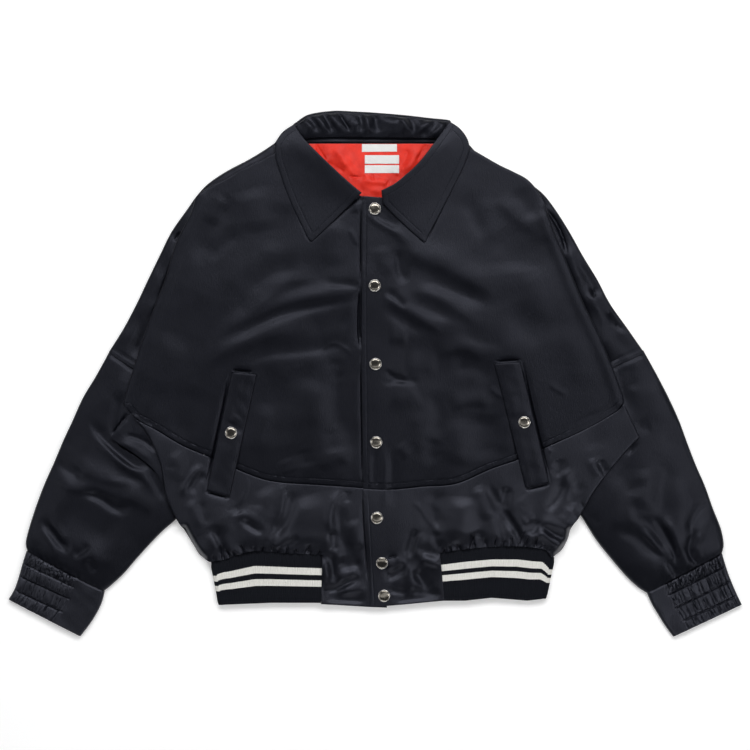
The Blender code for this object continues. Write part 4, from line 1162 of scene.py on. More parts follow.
FRONT_CREASES = {
    RIGHT: [
        (-197, 246, -222, 212, -240, 182, -245, 150, 9, -1.8), (-186, 196, -212, 180, -234, 158, 8, -0.9),
        (-178, 258, -170, 228, -165, 196, 16, 1.6), (-208, 246, -220, 230, -230, 208, 8, 1.1),
        (-128, 240, -134, 206, -144, 168, 13, -1.1), (-80, 137, -124, 127, -150, 107, -182, 84, 9, 2.1),
        (-104, 150, -150, 138, -186, 112, 11, -1.3), (-72, 125, -44, 124, -19, 121, 4, -1.3),
        (-14, 120, -66, 109, -124, 99, -171, 80, -213, 59, -230, 46, 8, 2.6),
        (-14, 106, -78, 95, -148, 76, -185, 57, -220, 39, 7, -1.9),
        (-98, 67, -148, 55, -194, 41, -236, 15, -248, 4, 11, 2.2), (-30, 78, -62, 72, -98, 58, 12, -1.2),
        (-29, 44, -101, 33, -148, 28, -196, 12, 8, -1.7), (-66, 26, -108, 12, -150, -8, 13, 1.6),
        (-31, 24, -46, 38, -60, 42, -79, 28, 2.2, 1.1), (-56, 22, -54, 6, -50, -12, 8, -1),
        (-37, 204, -30, 190, -21, 176, 3, 1.3), (-26, 242, -25, 224, 5, 1.3),
        (-50, 214, -60, 180, -58, 150, 12, 1.4), (-20, 122, -22.5, 84, -22.5, 60, -20, 34, 3.2, -3.4),
        (-20.2, 238, -20.8, 180, -20.6, 124, 1.3, -1.5),
        (-20.4, 32, -20.2, -10, -18.8, -110, -18.2, -150, 1.3, -1.5),
        (-18.2, -164, -16, -210, -14, -240, -10.5, -290, 1.3, -1.5),
        (-202, 4, -220, -80, -237.5, -163, 1.9, -2.6), (-237, -164, -203, -173, 1.6, -2),
        (-172, 3, -199, 5.5, 1.8, -2.6), (-20, 249.5, -55, 217, -90, 184, 1.1, -1.2),
        (-92, 184, -99, 204, -109, 250, -115.5, 300, 1.2, -1.5), (-240, -20, -262, -60, -272, -96, 18, -1.6),
        (-285, 60, -296, 10, -312, -30, 17, 1.6), (-235, 110, -262, 60, -270, 20, 18, -1.4),
        (-50, 6, -56, -48, -47, -92, 11, -2), (-64, -74, -62, -92, -58, -112, 8, -1),
        (-33, 10, -33, -35, -31, -84, 8, 1.2), (-82, -8, -92, -44, -86, -78, 15, 1.3),
        (-118, -20, -132, -60, -128, -100, 17, -1.3), (-150, -40, -160, -80, -166, -112, 11, 1.2),
        (-78, -132, -66, -122, -48, -115, -31, -124, 9, 1.9), (-100, -104, -94, -130, 9, -1.1),
        (-128, -118, -120, -140, 9, 1.1), (-129, -153, -131, -189, -153, -235, 3.2, 2.2),
        (-119, -158, -120, -190, -130, -212, -146, -232, 7, -4), (-100, -168, -94, -204, -91, -246, 17, 3),
        (-157, -244, -132, -237, -111, -220, 3.2, 1.8), (-106, -226, -118, -236, -132, -242, 4, -2),
        (-46, -162, -60, -180, -64, -204, -60, -224, 4, 2.2),
        (-50, -180, -50, -208, -46, -235, -38, -258, 6.5, -3.2), (-38, -162, -41, -180, 4, -1.3),
        (-33, -202, -27, -222, -24, -246, 8, 2.2), (-59, -216, -58, -232, -57, -250, 4.2, -3),
        (-188, -202, -174, -212, -156, -223, 4, -2.8), (-190, -194, -172, -202, -152, -212, 5, 1.6),
        (-229, -214, -216, -234, -210, -253, 4, -2.8), (-236, -222, -224, -238, -218, -250, 4, 1.4),
        (-210, -243, -188, -249, -165, -252, 4, 1.8),
        (-238, -128, -252, -139, -262, -154, -270, -172, 4, 2.2),
        (-236, -138, -250, -152, -257, -168, 5, -1.8), (-244, -176, -240, -196, -232, -212, 5, -2),
        (-262, -176, -252, -190, -242, -214, 6, 1.6), (-178, -142, -179, -161, -188, -180, 2.2, 1.3),
        (-197, -182, -190, -196, 5, -2), (-180, -190, -206, -206, -212, -222, 8, 1.6),
        (-160, -160, -150, -184, -160, -206, 10, 1.6), (-286, -110, -272, -130, -280, -150, 8, 1.4),
        (-63, -246, -60, -270, -56, -294, 4, -2.6), (-72, -256, -70, -274, -66, -292, 4.5, 2.2),
        (-52, -258, -38, -268, -20, -260, 7, -2.4), (-76, -304, -58, -301, -44, -294, -24, -283, 3.6, -3.4),
        (-74, -309, -60, -308, -48, -303, 5, -1.8), (-54, -288, -40, -282, -22, -272, 6, 2.8),
        (-48, -305, -30, -301, -12, -297, 5, 2.4), (-74, -314, -42, -315.5, -11, -317, 3.7, -2.2),
    ],
    LEFT: [
        (168, 18, 202, 20, 1.6, -2.6), (204, 18, 224, -70, 244.5, -152, 1.9, -2.6),
        (243, -153.5, 209, -161.5, 1.6, -2), (68, 181, 38, 216, 9, 252.5, 1.1, -1.2),
        (70, 182, 84, 214, 100, 262, 107, 304, 1.2, -1.5), (-4, 224, 12, 214, 34, 202, 5, -1.8),
        (-14, 225, 8, 210, 30, 196, 46, 180, 5, 1.5),
        (30, 192, 58, 166, 98, 149, 140, 127, 174, 110, 12, 2.9),
        (62, 134, 92, 121, 124, 110, 156, 98, 8, -1.6), (32, 172, 33, 150, 41, 124, 5, -2.2),
        (8, 180, 12, 156, 26, 140, 9, 1), (50, 117, 84, 108, 112, 91, 148, 70, 8, 1.5),
        (38, 106, 72, 90, 112, 74, 7, -1.4), (10, 112, 34, 95, 62, 77, 96, 60, 7, 2.2),
        (14, 116, 28, 105, 44, 90, 3.8, -2), (12, 92, 44, 70, 70, 56, 8, -1.4), (18, 52, 46, 50, 8, 1.4),
        (110, 66, 150, 46, 186, 40, 11, -1.2), (84, 26, 114, 36, 140, 29, 152, 18, 8, 1.7),
        (104, 11, 150, 4, 162, -12, 11, -1.7), (40, 13, 88, 10, 11, 1.3), (12, 10, 28, 0, 47, -6, 2.6, 1.1),
        (12, 5, 28, -6, 46, -11, 3.8, -1.6), (122, 248, 138, 217, 152, 188, 8, -0.8),
        (150, 248, 156, 214, 168, 186, 9, 0.6), (170, 248, 192, 223, 214, 206, 234, 200, 9, 1.1),
        (192, 256, 208, 234, 220, 216, 8, -1.1), (222, 226, 232, 206, 237, 180, 11, 1.3),
        (168, 196, 188, 170, 192, 140, 20, -1.6), (214, 150, 226, 110, 232, 70, 17, 1.3),
        (188, 96, 214, 60, 238, 40, 16, -1.3), (262, 70, 284, 20, 296, -24, 17, 1.3),
        (22, -26, 42, -32, 60, -22, 15, 1.7), (8, -14, 34, -10, 62, -12, 4, -1.3),
        (74, -24, 88, -58, 84, -92, 8, -1.3), (84, -90, 78, -112, 86, -124, 8, -1.1),
        (104, -48, 124, -39, 150, -38, 162, -46, 8, 1.9), (158, -18, 172, -30, 184, -34, 3.2, 1.2),
        (150, -54, 148, -84, 150, -122, 17, -2.3), (112, -62, 116, -96, 112, -128, 13, 1.4),
        (176, -60, 184, -90, 178, -112, 9, 1), (30, -98, 48, -116, 6, 1.2),
        (58, -50, 62, -84, 56, -110, 10, 1), (0, -102, 0, -162, 3.8, -1.2), (12, -98, 13, -190, 3.8, 1.1),
        (24, -104, 24, -188, 3.8, -1.1), (-10, -110, -9, -156, 3, 0.8),
        (240, -14, 256, -24, 268, -31, 3, 1.1), (240, -105, 248, -110, 2.4, 1.2),
        (252, -118, 256, -134, 248, -144, 6, -1.8), (262, -132, 270, -146, 280, -160, 6, 1.6),
        (270, -138, 279, -154, 288, -168, 5.5, -1.6), (266, -176, 280, -177, 293, -181, 6, -1.4),
        (292, -180, 288, -190, 282, -202, 4, -2.2), (276, -186, 270, -198, 262, -210, 6, 1.8),
        (300, -116, 305, -130, 313, -143, 6, 1.4), (309, -118, 317, -133, 325, -144, 4, -2.4),
        (284, -60, 300, -86, 306, -108, 14, -1.2), (262, -146, 254, -170, 238, -192, 5, -2.2),
        (78, -160, 84, -190, 89, -220, 11, -3.2), (48, -177, 62, -186, 73, -202, 88, -222, 3.4, 1.8),
        (60, -170, 90, -188, 104, -214, 6, 1.2), (124, -170, 122, -200, 112, -232, 15, 3.4),
        (138, -156, 150, -178, 158, -206, 9, 2.6), (152, -152, 168, -178, 177, -208, 184, -238, 7, -3.6),
        (160, -150, 174, -172, 182, -196, 2.6, 1.3), (168, -186, 174, -210, 182, -238, 2.4, 1.2),
        (184, -156, 181, -172, 178, -192, 4.4, -4), (177, -184, 187, -205, 196, -219, 204, -240, 5, -4.8),
        (184, -186, 194, -202, 206, -224, 211, -238, 2.6, 2.4), (226, -203, 222, -213, 217, -225, 5, -2.6),
        (204, -208, 214, -203, 222, -198, 4, 1.6), (208, -238, 221, -228, 234, -222, 246, -228, 4, 2.4),
        (230, -212, 248, -223, 270, -234, 4.2, -4), (228, -222, 244, -233, 262, -241, 4, 2),
        (230, -204, 250, -211, 270, -212, 5, 2), (200, -170, 212, -186, 206, -198, 10, 1.2),
        (140, -216, 147, -230, 152, -246, 4, -2.2), (58, -216, 51, -236, 46, -258, 4.2, -3.4),
        (66, -218, 61, -238, 56, -258, 5, 2), (84, -218, 84, -232, 92, -246, 4.4, -2.2),
        (56, -240, 70, -248, 90, -252, 5, -2.2), (110, -232, 112, -242, 116, -252, 4, -2),
        (62, -256, 76, -262, 92, -266, 5, 2.6), (12, -286, 28, -280, 44, -268, 5, -2.8),
        (16, -272, 28, -266, 40, -256, 5, 2.4), (54, -270, 64, -288, 80, -304, 5, -3.4),
        (46, -262, 49, -284, 58, -304, 6, 2.6), (16, -300, 30, -304, 46, -306, 4, -2.4),
        (48, -304, 68, -305, 92, -309, 3.8, -2.4), (22, -317, 56, -313, 92, -310.5, 3.7, -2.2),
        (16, -257, 24, -254, 30, -254, 2, -1.6),
    ],
}
ARMHOLE_BAND = (8.0, 7.0, 1.3)  # the bright puff just inside the armhole fold: how far in, half width, height
ROLL_BAND = 9.0  # how far in from the pinned side the panels come up to their height
PINNED_Z = 3.6
EDGE_WALL = 2.6
YOKE_SEAM = 8.2  # the yoke's topstitch above its seam
YOKE_FALL, YOKE_FALL_REACH = 4.6, 32.0  # how far the panels fall to the yoke seam
YOKE_DIP, YOKE_DIP_REACH = 0.8, 10  # how far the panels below it sink to that seam
YOKE_RIDGE = (0.35, 1.5, 7.4, 0.8)  # the seam allowance under it: height, rise, where it ends, fall
BLOUSE = (2.4, 19.0, 13.0)  # the bulge over the hem band: its height, how far in from the seam, half width
HEM_GATHERS, YOKE_GATHERS = (7.5, 1.5, 9.0), (9.0, 0.3, 7.0)  # period, height, reach
YOKE_PUCKERS, PLACKET_PUCKERS = (6.3, 0.35, 3.0), (9.0, 0.25, 3.0)  # the same, beside topstitching


def front_wall(side):
    """A front's wall: thicker along its folded edges."""
    lines = [curve(line, 6.0) for line in FOLDED_EDGES[side]]

    def wall(xy):
        far = np.min([far_from(xy, line) for line in lines], axis=0)
        return mix(EDGE_WALL, SATIN_WALL, smooth(far / 10))

    return wall


CENTRE_EDGE = [(-19, 238), (-20, 120), (-19, 0), (-17, -150), (-13, -240), (-8, -321)]  # left over right
PLACKET_SEAM = 6.5  # its topstitch inside that edge


def placket_stitches(outline):
    """The part of the placket's topstitch that lies on a panel of the left front."""
    line = respaced(moved_left(curve(CENTRE_EDGE, 3.0), PLACKET_SEAM), 3.0)
    return line[inside(line, outline)]


def hem_notches(side, seed):
    """Short slits that run up from the hem seam, where the panels are gathered into the band."""
    seam = curve(HEM_SEAM[side], 1.0)
    up = moved_left(seam, 1.0) - seam
    up *= np.sign(up[:, 1:])
    draw = np.random.default_rng(seed)
    rows, at = [], 5
    while at < len(seam) - 5:
        length = draw.choice([6, 9, 14, 22], p=[0.35, 0.3, 0.2, 0.15])
        lean = draw.uniform(-0.45, 0.45)
        way = up[at] + lean * np.array([up[at][1], -up[at][0]])
        start = seam[at] + 0.5 * way
        bend = start + 0.5 * length * way + draw.uniform(-1.2, 1.2) * np.array([1.0, 0.0])
        rows.append((*(start - 4 * way), *bend, *(start + length * way),
                     draw.uniform(1.3, 2.3), -draw.uniform(1.2, 2.4)))
        at += int(draw.uniform(6, 15))
    return rows


def make_front(side, seed):
    """Both panels of a front, above and below the yoke seam, with their topstitching."""
    pinned = curve(SIDE_PINNED[side], 4.0)
    centre = curve(CENTRE_EDGE, 6.0)
    table = FRONT_CREASES[side] + hem_notches(side, seed + 30)
    relief = Relief([f"front_upper_{side}", f"front_lower_{side}"], blur=8.0,
                    leave_out=lambda xy: far_from(xy, pinned) < ROLL_BAND + 2)
    yoke = stretch(cad_outline(f"front_upper_{side}"), *YOKE_ENDS[side][:: 1 if side == RIGHT else -1])
    hem = curve(HEM_SEAM[side], 3.0)
    yoke_stitch = moved_left(yoke, YOKE_SEAM)
    armhole = curve(FOLDED_EDGES[side][1], 6.0)

    def common(xy):
        soft = 0.35 * ripple(xy, 110, seed) + 0.07 * ripple(xy, 36, seed + 1)
        in_from, width, height = ARMHOLE_BAND
        puff = height * bell(far_from(xy, armhole) - in_from, width)
        z = relief(xy) + creases(xy, table) + soft + puff
        if side == LEFT:
            from_edge = far_from(xy, centre)
            z += seam_groove(from_edge - PLACKET_SEAM, 0.25)
            pucker = gathers(np.abs(from_edge - 3) * 0.5, xy[:, 1], seed + 15, *PLACKET_PUCKERS)
            z += pucker * (from_edge < 7)
        return z

    def upper(xy):
        far, along, *_ = to_line(xy, yoke)
        high, rise, end, slope = YOKE_RIDGE
        pressed = high * smooth(far / rise) * (1 - smooth((far - end) / slope))
        pucker = gathers(np.abs(far - 4) * 0.4, along, seed + 5, *YOKE_PUCKERS) * (far < 11)
        fall = YOKE_FALL * np.exp(-far / YOKE_FALL_REACH)
        return common(xy) + pressed + seam_groove(far - YOKE_SEAM) + pucker - fall

    def lower(xy):
        far, along, *_ = to_line(xy, hem)
        z = common(xy) + gathers(far, along, seed + 6, *HEM_GATHERS)
        height, in_from, width = BLOUSE
        uneven = 0.8 + 0.3 * wander(along, seed + 8, 70)
        z += height * uneven * bell(far - in_from, width)
        far, along, *_ = to_line(xy, yoke)
        z += gathers(far, along, seed + 7, *YOKE_GATHERS)
        z -= YOKE_DIP * np.exp(-far / YOKE_DIP_REACH)
        return mix(PINNED_Z, z, np.sqrt(smooth(far_from(xy, pinned) / ROLL_BAND)))

    tracks = tracks_of(table)
    if side == LEFT:
        tracks.append((moved_left(centre, PLACKET_SEAM), SEAM_TRACK))
    made = []
    # the lower panels take the satin whose raised shine is painted light, brightening them under the same
    # lamps
    for panel, height, lines, seams, ease, shade in (
        ("upper", upper, [yoke], [(yoke_stitch, SEAM_TRACK)], 1.0, SATIN),
        ("lower", lower, [yoke, hem], [], 1.2, SATIN_ACROSS_LIT),
    ):
        node = f"front_{panel}_{side}"
        cloth = Cloth(f"front_{panel}_cloth_{side}", "satin", cad_outline(node), height, front_wall(side),
                      step=2.5, fine=1.6, fine_lines=lines, replaces=node, ease=ease, crisp=[yoke, centre],
                      shade=shade, tracks=tracks + seams)
        if panel == "upper":
            stitch_row(yoke_stitch[4:-4], cloth.height)
        if side == LEFT:
            stitch_row(placket_stitches(cloth.outline), cloth.height)
        made.append(cloth)
    PILE.extend(cloth.tree for cloth in made)
    return made


# ---------------------------------------------------------------- back, gusset, lining and labels

LINING_CREASES = [
    (-84, 322, -77, 310, -69, 298, 2.6, -2.2), (-68, 296, -54, 288, -44, 283, 2.4, -2.2),
    (-37, 277, -26, 275, -14, 276, 2.2, -2), (-28, 263, -22, 257, -17, 252, 2.4, -2.4),
    (0, 280, 14, 278, 28, 278, 2.2, -2), (24, 279, 20, 271, 15, 263, 2.2, -1.8),
    (32, 279, 29, 271, 24, 263, 2.2, -1.8), (46, 314, 40, 301, 31, 290, 2.6, -2),
    (-12, 300, -8, 285, -2, 268, 2.4, -1.6), (-60, 318, -46, 302, -36, 288, 5, 2.2),
    (-48, 300, -34, 284, -22, 268, 4, 2), (-20, 270, 5, 268, 26, 266, 3.6, 2.2),
    (62, 316, 52, 298, 40, 280, 5, 2.4), (70, 322, 64, 308, 56, 298, 2.6, -1.8),
    (-90, 322, -80, 304, -70, 290, 4, 1.8), (-8, 258, 4, 255, 14, 257, 3.6, 1.6),
]
LINING_WALL, LABEL_WALL = 0.7, 0.4
LABEL_LIFT = 0.75  # a label's face over the lining
LABEL_SEAM = 1.1  # a label's stitches inside its short sides
LABEL_STITCH = (1.6, 1.1, 0.35, 0.05)  # pitch, length, thickness, how deep they are sunk
BACK_TOP, BACK_WALL = 1.35, 1.1


def make_back():
    def height(xy):
        return BACK_TOP + 0.25 * ripple(xy, 60, 7)

    return Cloth("back_cloth", "satin", cad_outline("back"), height, BACK_WALL, step=9, fine=6, under=[],
                 replaces="back", low=0.0)


def make_gusset():
    relief = Relief(["underarm_right"], blur=7.0)

    def height(xy):
        return relief(xy) + GUSSET_LIFT + 0.5 * ripple(xy, 30, 9) + creases(xy, GUSSET_CREASES)

    cloth = Cloth("underarm_cloth_right", "satin", cad_outline("underarm_right"), height, SATIN_WALL,
                  replaces="underarm_right")
    PILE.append(cloth.tree)


def make_lining(back):
    """The lining at the neck, and the three blank labels on it."""
    relief = Relief(["lining_neck"], blur=6.0)

    def height(xy):
        return relief(xy) + creases(xy, LINING_CREASES) + 0.45 * ripple(xy, 22, 5, 60, 2.0)

    lining = Cloth("lining_cloth", "lining", cad_outline("lining_neck"), height, LINING_WALL,
                   edge=(2.0, 0.8), step=1.9, fine=1.4, tracks=tracks_of(LINING_CREASES), under=[back.tree],
                   replaces="lining_neck")
    for number, part in enumerate(("top", "middle", "bottom")):
        node = f"neck_label_{part}"
        outline = cad_outline(node, 1.0)

        def lying(xy, seed=number):
            return tops([lining.tree], xy, 3.0) + LABEL_LIFT + 0.12 * ripple(xy, 14, seed)

        label = Cloth(f"neck_label_cloth_{part}", "label", outline, lying, LABEL_WALL, edge=(0.8, 0.8),
                      step=1.2, fine=0.9, under=[lining.tree], clearance=0.1, replaces=node)
        low, high = outline.min(axis=0), outline.max(axis=0)
        for x in (low[0] + LABEL_SEAM, high[0] - LABEL_SEAM):
            line = np.array([(x, low[1] + 0.8), (x, high[1] - 0.8)])
            stitch_row(line, label.height, *LABEL_STITCH, WHITE_THREAD)


# ---------------------------------------------------------------- collar

COLLAR_ROLL = [  # outer fold, X at the neck seam, puff
    (-115, 349.5, -100, 2), (-111, 352, -94, 4), (-93, 363, -78, 7), (-59, 368, -50, 6),
    (-28, 367, -24, 8), (-1, 365.5, -1, 5), (41, 362, 36, 8), (76, 358, 66, 6), (101, 355.5, 81, 4),
    (105.5, 353, 88, 2),
]
ROLL_NECK_Y = 325.0
ROLL_WALL, STAND_WALL = 1.2, 0.8
ROLL_LIP = 0.86  # where the roll turns in again, down to the neck seam, as a part of its width
LIP_TURN = [(0.0, 1.2), (0.6, 3.0)]  # the way that it turns in there: how far in, and how far down
ROLL_CREASES = [  # pleats that fan down from the top fold
    (-106, 354, -96, 350, -88, 338, 3.8, 1.8), (-96, 358, -86, 350, -78, 336, 4, -2.2),
    (-88, 362, -78, 352, -68, 336, 4, 2.6), (-74, 364, -66, 352, -58, 336, 3.8, -2),
    (-68, 366, -58, 354, -44, 336, 4.4, 3), (-52, 364, -44, 352, -34, 338, 3.2, -1.8),
    (-40, 352, -28, 348, -18, 350, 5, 1.2), (-24, 366, -20, 350, -19, 336, 3.7, -2),
    (-14, 366, -11, 350, -9, 334, 4.2, 3), (-2, 364, 1, 350, 6, 336, 3.7, -2),
    (8, 356, 22, 350, 36, 352, 5, 1.4), (32, 362, 41, 348, 47, 334, 4, 2.8),
    (44, 360, 53, 346, 58, 334, 3.7, -2.2), (54, 334, 66, 344, 82, 354, 4, 2.6),
    (62, 330, 76, 338, 92, 350, 3.7, -1.8), (74, 330, 86, 340, 100, 352, 3.8, 2.2),
]
LEAF_ROLL_LINE = {
    RIGHT: [(-113, 349), (-96, 324), (-47, 276), (-19, 252)],
    LEFT: [(103, 353), (83, 324), (59, 293), (27, 265), (8, 255)],
}
LEAF_CORNERS = {  # front edge from the roll to the point, then the outer edge back to the shoulder
    RIGHT: [(-19, 252), (-91, 185), (-113, 349)],
    LEFT: [(8, 255), (69, 183), (103, 353)],
}
LEAF_WALL = 1.7
STAND_START = 0.22  # the part of the roll line that is past the stand's back end
STAND_REACH = (3.0, 14.0)  # how far out from the roll line its upper and lower edges are
STAND_CLEAR = (0.4, 1.2)  # how far it keeps over the front, and under the leaf
LEAF_SEAM = 8.4  # its topstitch inside its edges


def make_collar_roll():
    """The folded collar behind the neck, puffed and wrinkled."""
    radius = FOLD_RADIUS
    lining = Relief(["lining_neck"], step=2.5, blur=6.0)
    grid = []
    for row in stations_along(COLLAR_ROLL, 1.6):
        outer, seam, puff = row[:2], np.array([row[2], ROLL_NECK_Y]), row[3]
        width = math.hypot(*(seam - outer))
        part = np.linspace(radius / width, ROLL_LIP, 24)[1:]
        body = np.sin(math.pi * np.clip(part * 1.02, 0, 1)) ** 0.6
        high = 2 * radius + puff * body
        low = lining(mix(outer, seam, 0.95)[None])[0]
        lip = ROLL_LIP * width
        under_lip = [(lip - inward, high[-1] - drop) for inward, drop in LIP_TURN]
        under_lip += [(lip - 0.8, low + 0.6), (mix(lip, width, 0.5), low + 1.0), (width, low + 1.9)]
        section = fold_section(np.linspace(width, radius, 12)[:-1],
                               np.vstack([np.column_stack([part * width, high]), under_lip]))
        xy = mix(outer, seam, (section[:, 0] / width)[:, None])
        lift = creases(xy, ROLL_CREASES) + 0.5 * ripple(xy, 20, 3, 75, 1.8)
        inward = smooth(section[:, 0] / 9) * smooth((width - section[:, 0]) / 6 + 0.15)
        z = section[:, 1] + lift * smooth((section[:, 1] - radius) / radius) * inward
        grid.append(np.column_stack([xy, z]))
    _, tree = shell("collar_roll_cloth", "satin", np.array(grid), ROLL_WALL, False, ("collar_roll",))
    PILE.append(tree)


def make_leaf(side, seed):
    """A leaf of the collar, topstitched along both free edges."""
    name = f"collar_leaf_{side}"
    outline = cad_outline(name)
    relief = Relief([name], step=2.5, blur=9.0)
    start, point, end = LEAF_CORNERS[side]
    edges = [stretch(outline, b, a) for a, b in ((start, point), (point, end))]
    roll = curve(LEAF_ROLL_LINE[side], 4.0)
    inner = offset_inside(outline, edges, LEAF_SEAM)

    def height(xy):
        far = np.min([far_from(xy, edge) for edge in edges], axis=0)
        from_roll = far_from(xy, roll)
        soft = 0.15 * ripple(xy, 60, seed) + 0.5 * bell(from_roll - 12, 9)
        return relief(xy) + 0.35 * seam_groove(far - LEAF_SEAM) + soft

    leaf = Cloth(f"collar_leaf_cloth_{side}", "satin", outline, height, LEAF_WALL, edge=(1.5, 1.0), step=2.2,
                 fine=1.2, fine_lines=edges, tracks=[(line, SEAM_TRACK) for line in inner], replaces=name)
    for line in inner:
        stitch_row(line, leaf.height)
    return leaf


def offset_inside(outline, edges, distance):
    """Lines that follow some edges of an outline, a distance inside it, cut where they cross."""
    lines = []
    for k, edge in enumerate(edges):
        line = respaced(moved_left(edge, distance), 1.5)
        clear = inside(line, outline)
        for other in edges[:k] + edges[k + 1:]:
            clear &= far_from(line, other) > distance - 0.2
        lines.append(line[clear])
    return lines


def make_collar_band(side, front, leaf):
    """The stand under a leaf's roll, from the leaf down to the neck seam."""
    roll = curve(LEAF_ROLL_LINE[side], 3.0)
    roll = roll[int(STAND_START * len(roll)):-4]
    over, beneath = STAND_CLEAR
    out = OUTWARD[side]
    rows = []
    for part in np.linspace(0, 1, 7):
        line = moved_left(roll, out * mix(*STAND_REACH, part))
        near = [tops([leaf.tree], moved_left(line, k), np.nan) for k in (-3, 0, 3)]
        high = np.nanmin(near, axis=0) - LEAF_WALL - beneath
        low = tops([c.tree for c in front], line, 8.0) + over
        z = mix(np.where(np.isfinite(high), high, low + 4), low, part ** 0.8)
        rows.append(np.column_stack([line, np.maximum(z, low)]))
    shell(f"collar_band_cloth_{side}", "satin", np.array(rows), STAND_WALL, False,
          (f"collar_band_{side}",))


# ---------------------------------------------------------------- pocket welts and snaps

WELT_CORNERS = {  # top inner, top outer, bottom outer, bottom inner
    RIGHT: [(-165, 0), (-200, 3), (-235, -162), (-203, -171)],
    LEFT: [(165, 15), (202, 17), (242, -151), (209, -159)],
}
WELT_WALL, WELT_SINK = 2.2, 0.5  # its long edges lie this much lower than its CAD solid's top
WELT_SEAM = 2.6  # its topstitch inside its inner edge
WELT_CROWN, WELT_CROWN_REACH = 0.9, 11  # how high its middle swells, and over how far from its long edges
WELT_CREASES = [
    (-203, -65, -186, -83, 4, -0.9), (-190, -58, -200, -70, 5, 0.8), (212, -52, 222, -72, 5, 0.8),
    (190, -30, 196, -62, 5, 0.7),
]


def make_welt(side, seed):
    """A slanted strip over a pocket, with a row of stitches along its inner edge."""
    name = f"pocket_welt_{side}"
    corners = np.array(WELT_CORNERS[side], float)
    relief = Relief([name], step=2.5, blur=6.0)

    def height(xy):
        inner = far_from(xy, respaced(corners[[0, 3]], 10))
        outer = far_from(xy, respaced(corners[[1, 2]], 10))
        crown = WELT_CROWN * smooth(np.minimum(inner, outer) / WELT_CROWN_REACH)
        groove = seam_groove(inner - WELT_SEAM)
        base = relief(xy) - WELT_SINK + crown + groove
        return base + creases(xy, WELT_CREASES) + 0.3 * ripple(xy, 26, seed)

    welt = Cloth(f"pocket_welt_cloth_{side}", "satin", cad_outline(name), height, WELT_WALL,
                 edge=(2.6, 1.0), step=2.2, fine=1.3, replaces=name)
    top_in, top_out, _, low_in = corners
    inward = unit(top_in - top_out)
    a, b = top_in - inward * WELT_SEAM, low_in - inward * WELT_SEAM
    run = unit(b - a)
    stitch_row(np.array([a + run * 3, b - run * 3]), welt.height)


SNAP_PROFILE = [  # radius and height of a snap's cap, from its middle to where it meets the cloth
    (0.0, 2.42), (2.2, 2.40), (4.2, 2.32), (5.6, 2.18), (6.5, 1.95), (6.85, 1.7), (7.0, 1.5), (7.15, 1.7),
    (7.35, 2.2), (7.6, 2.5), (7.9, 2.6), (8.2, 2.5), (8.45, 2.2), (8.62, 1.7), (8.7, 1.2), (8.6, 0.5),
    (8.2, 0.1), (7.0, 0.0),
]
SNAP_DISC_ROWS = 6  # rows of that profile that are the dull disc, the rest being the bright rim
SNAP_SIDES = 56


def make_snap(node):
    """A turned cap with a rounded rim round a dished disc, tilted as its CAD solid is."""
    points, _ = cad_mesh(node)
    middle = points.mean(axis=0)
    normal = np.linalg.svd(points - middle)[2][2]
    normal *= math.copysign(1.0, normal[2])
    base = middle + normal * ((points - middle) @ normal).min()
    across = unit(np.cross((0, 1, 0), normal))
    along = np.cross(normal, across)
    turns = np.linspace(0, math.tau, SNAP_SIDES, endpoint=False)
    spokes = np.outer(np.cos(turns), across) + np.outer(np.sin(turns), along)
    grid = np.array([base + spokes * max(r, 0.01) + normal * z for r, z in SNAP_PROFILE])
    rows, columns = grid.shape[:2]
    faces = grid_faces(rows, columns, columns)[:, [0, 3, 2, 1]]
    disc = (np.arange(len(faces)) < SNAP_DISC_ROWS * columns).astype(int)
    points = np.vstack([grid.reshape(-1, 3), base])
    rim = (rows - 1) * columns + np.arange(columns)
    foot = np.stack([rim, np.full(columns, len(points) - 1), np.roll(rim, -1)], axis=1)
    piece = make(node.replace("snap", "snap_cap"), "nickel", points, faces, (node,), disc, DISC)
    extra = make(node.replace("snap", "snap_foot"), "nickel", points, foot)
    extra.parent = piece


# ---------------------------------------------------------------- scene


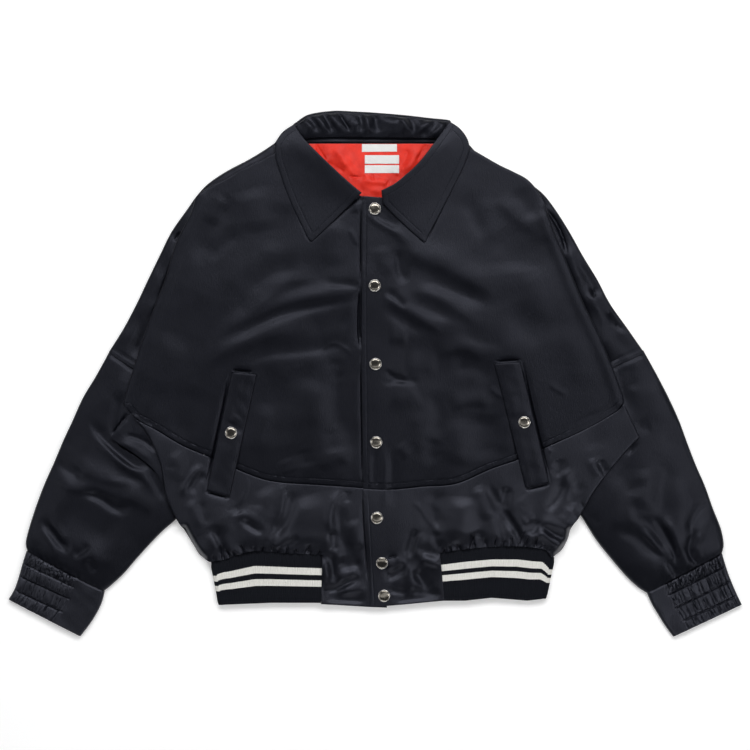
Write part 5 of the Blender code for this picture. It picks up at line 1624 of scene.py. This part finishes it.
FLOOR_SIZE, FLOOR_Z = 30, -0.0004  # metres; a hair under the cloth, which touches 0
LIGHTS = [  # name, place, size, power; each faces the jacket's middle
    ("top", (0.15, 1.9, 2.6), (3.4, 1.4), 88),
    ("over", (0.1, -0.62, 3.2), (3.0, 0.6), 4),
    ("right", (-2.1, 0.0, 2.0), (0.9, 2.0), 12),
    ("left", (1.9, -0.5, 2.5), (0.9, 1.8), 23),
    ("foot", (0.0, -2.8, 1.2), (2.4, 0.8), 15),
]


def make_stage():
    bpy.ops.mesh.primitive_plane_add(size=FLOOR_SIZE, location=(0, 0, FLOOR_Z))
    floor = bpy.context.active_object
    floor.name = "floor"
    floor.data.materials.append(floor_material())


def make_lights():
    for name, place, size, power in LIGHTS:
        light = bpy.data.lights.new(name, "AREA")
        light.shape = "RECTANGLE"
        light.size, light.size_y = size
        light.energy = power
        lamp = put(name, light)
        lamp.location = place
        lamp.rotation_euler = (-Vector(place)).to_track_quat("-Z", "Y").to_euler()


CAMERA_HEIGHT = 3.0
SENSOR = 36
VIEW_WIDTH = 1.05  # metres of floor that the frame takes in
VIEW_CENTRE = (-0.0007, -0.0014)


def make_camera():
    camera = bpy.data.cameras.new("camera")
    camera.sensor_width = SENSOR
    camera.lens = SENSOR * CAMERA_HEIGHT / VIEW_WIDTH
    camera.clip_start, camera.clip_end = 0.1, 50
    bpy.context.scene.camera = put("camera", camera)
    bpy.context.scene.camera.location = (*VIEW_CENTRE, CAMERA_HEIGHT)


def make_world():
    world = bpy.data.worlds.new("studio")
    bpy.context.scene.world = world
    world.use_nodes = True
    back = world.node_tree.nodes["Background"]
    back.inputs["Color"].default_value = (0.9, 0.93, 1.0, 1)
    back.inputs["Strength"].default_value = 0.032


SEED_STEP = 40  # between the right side's seeds and the left one's


def main():
    bpy.context.scene.view_settings.view_transform = "Standard"
    seeds = {RIGHT: 0, LEFT: SEED_STEP}
    for side, seed in seeds.items():
        make_sleeve(side, 11 + seed)
        make_cuff(side, 23 + seed)
        make_shoulder(side, 31 + seed)
    make_hem_band()
    make_collar_roll()
    make_lining(make_back())
    make_gusset()
    for side, seed in seeds.items():
        front = make_front(side, 101 + seed)
        leaf = make_leaf(side, 201 + seed)
        make_collar_band(side, front, leaf)
        make_welt(side, 301 + seed)
    for node in sorted(NODES):
        if node.startswith("snap_"):
            make_snap(node)
    make_threads()
    make_stage()
    make_world()
    make_camera()
    make_lights()


main()
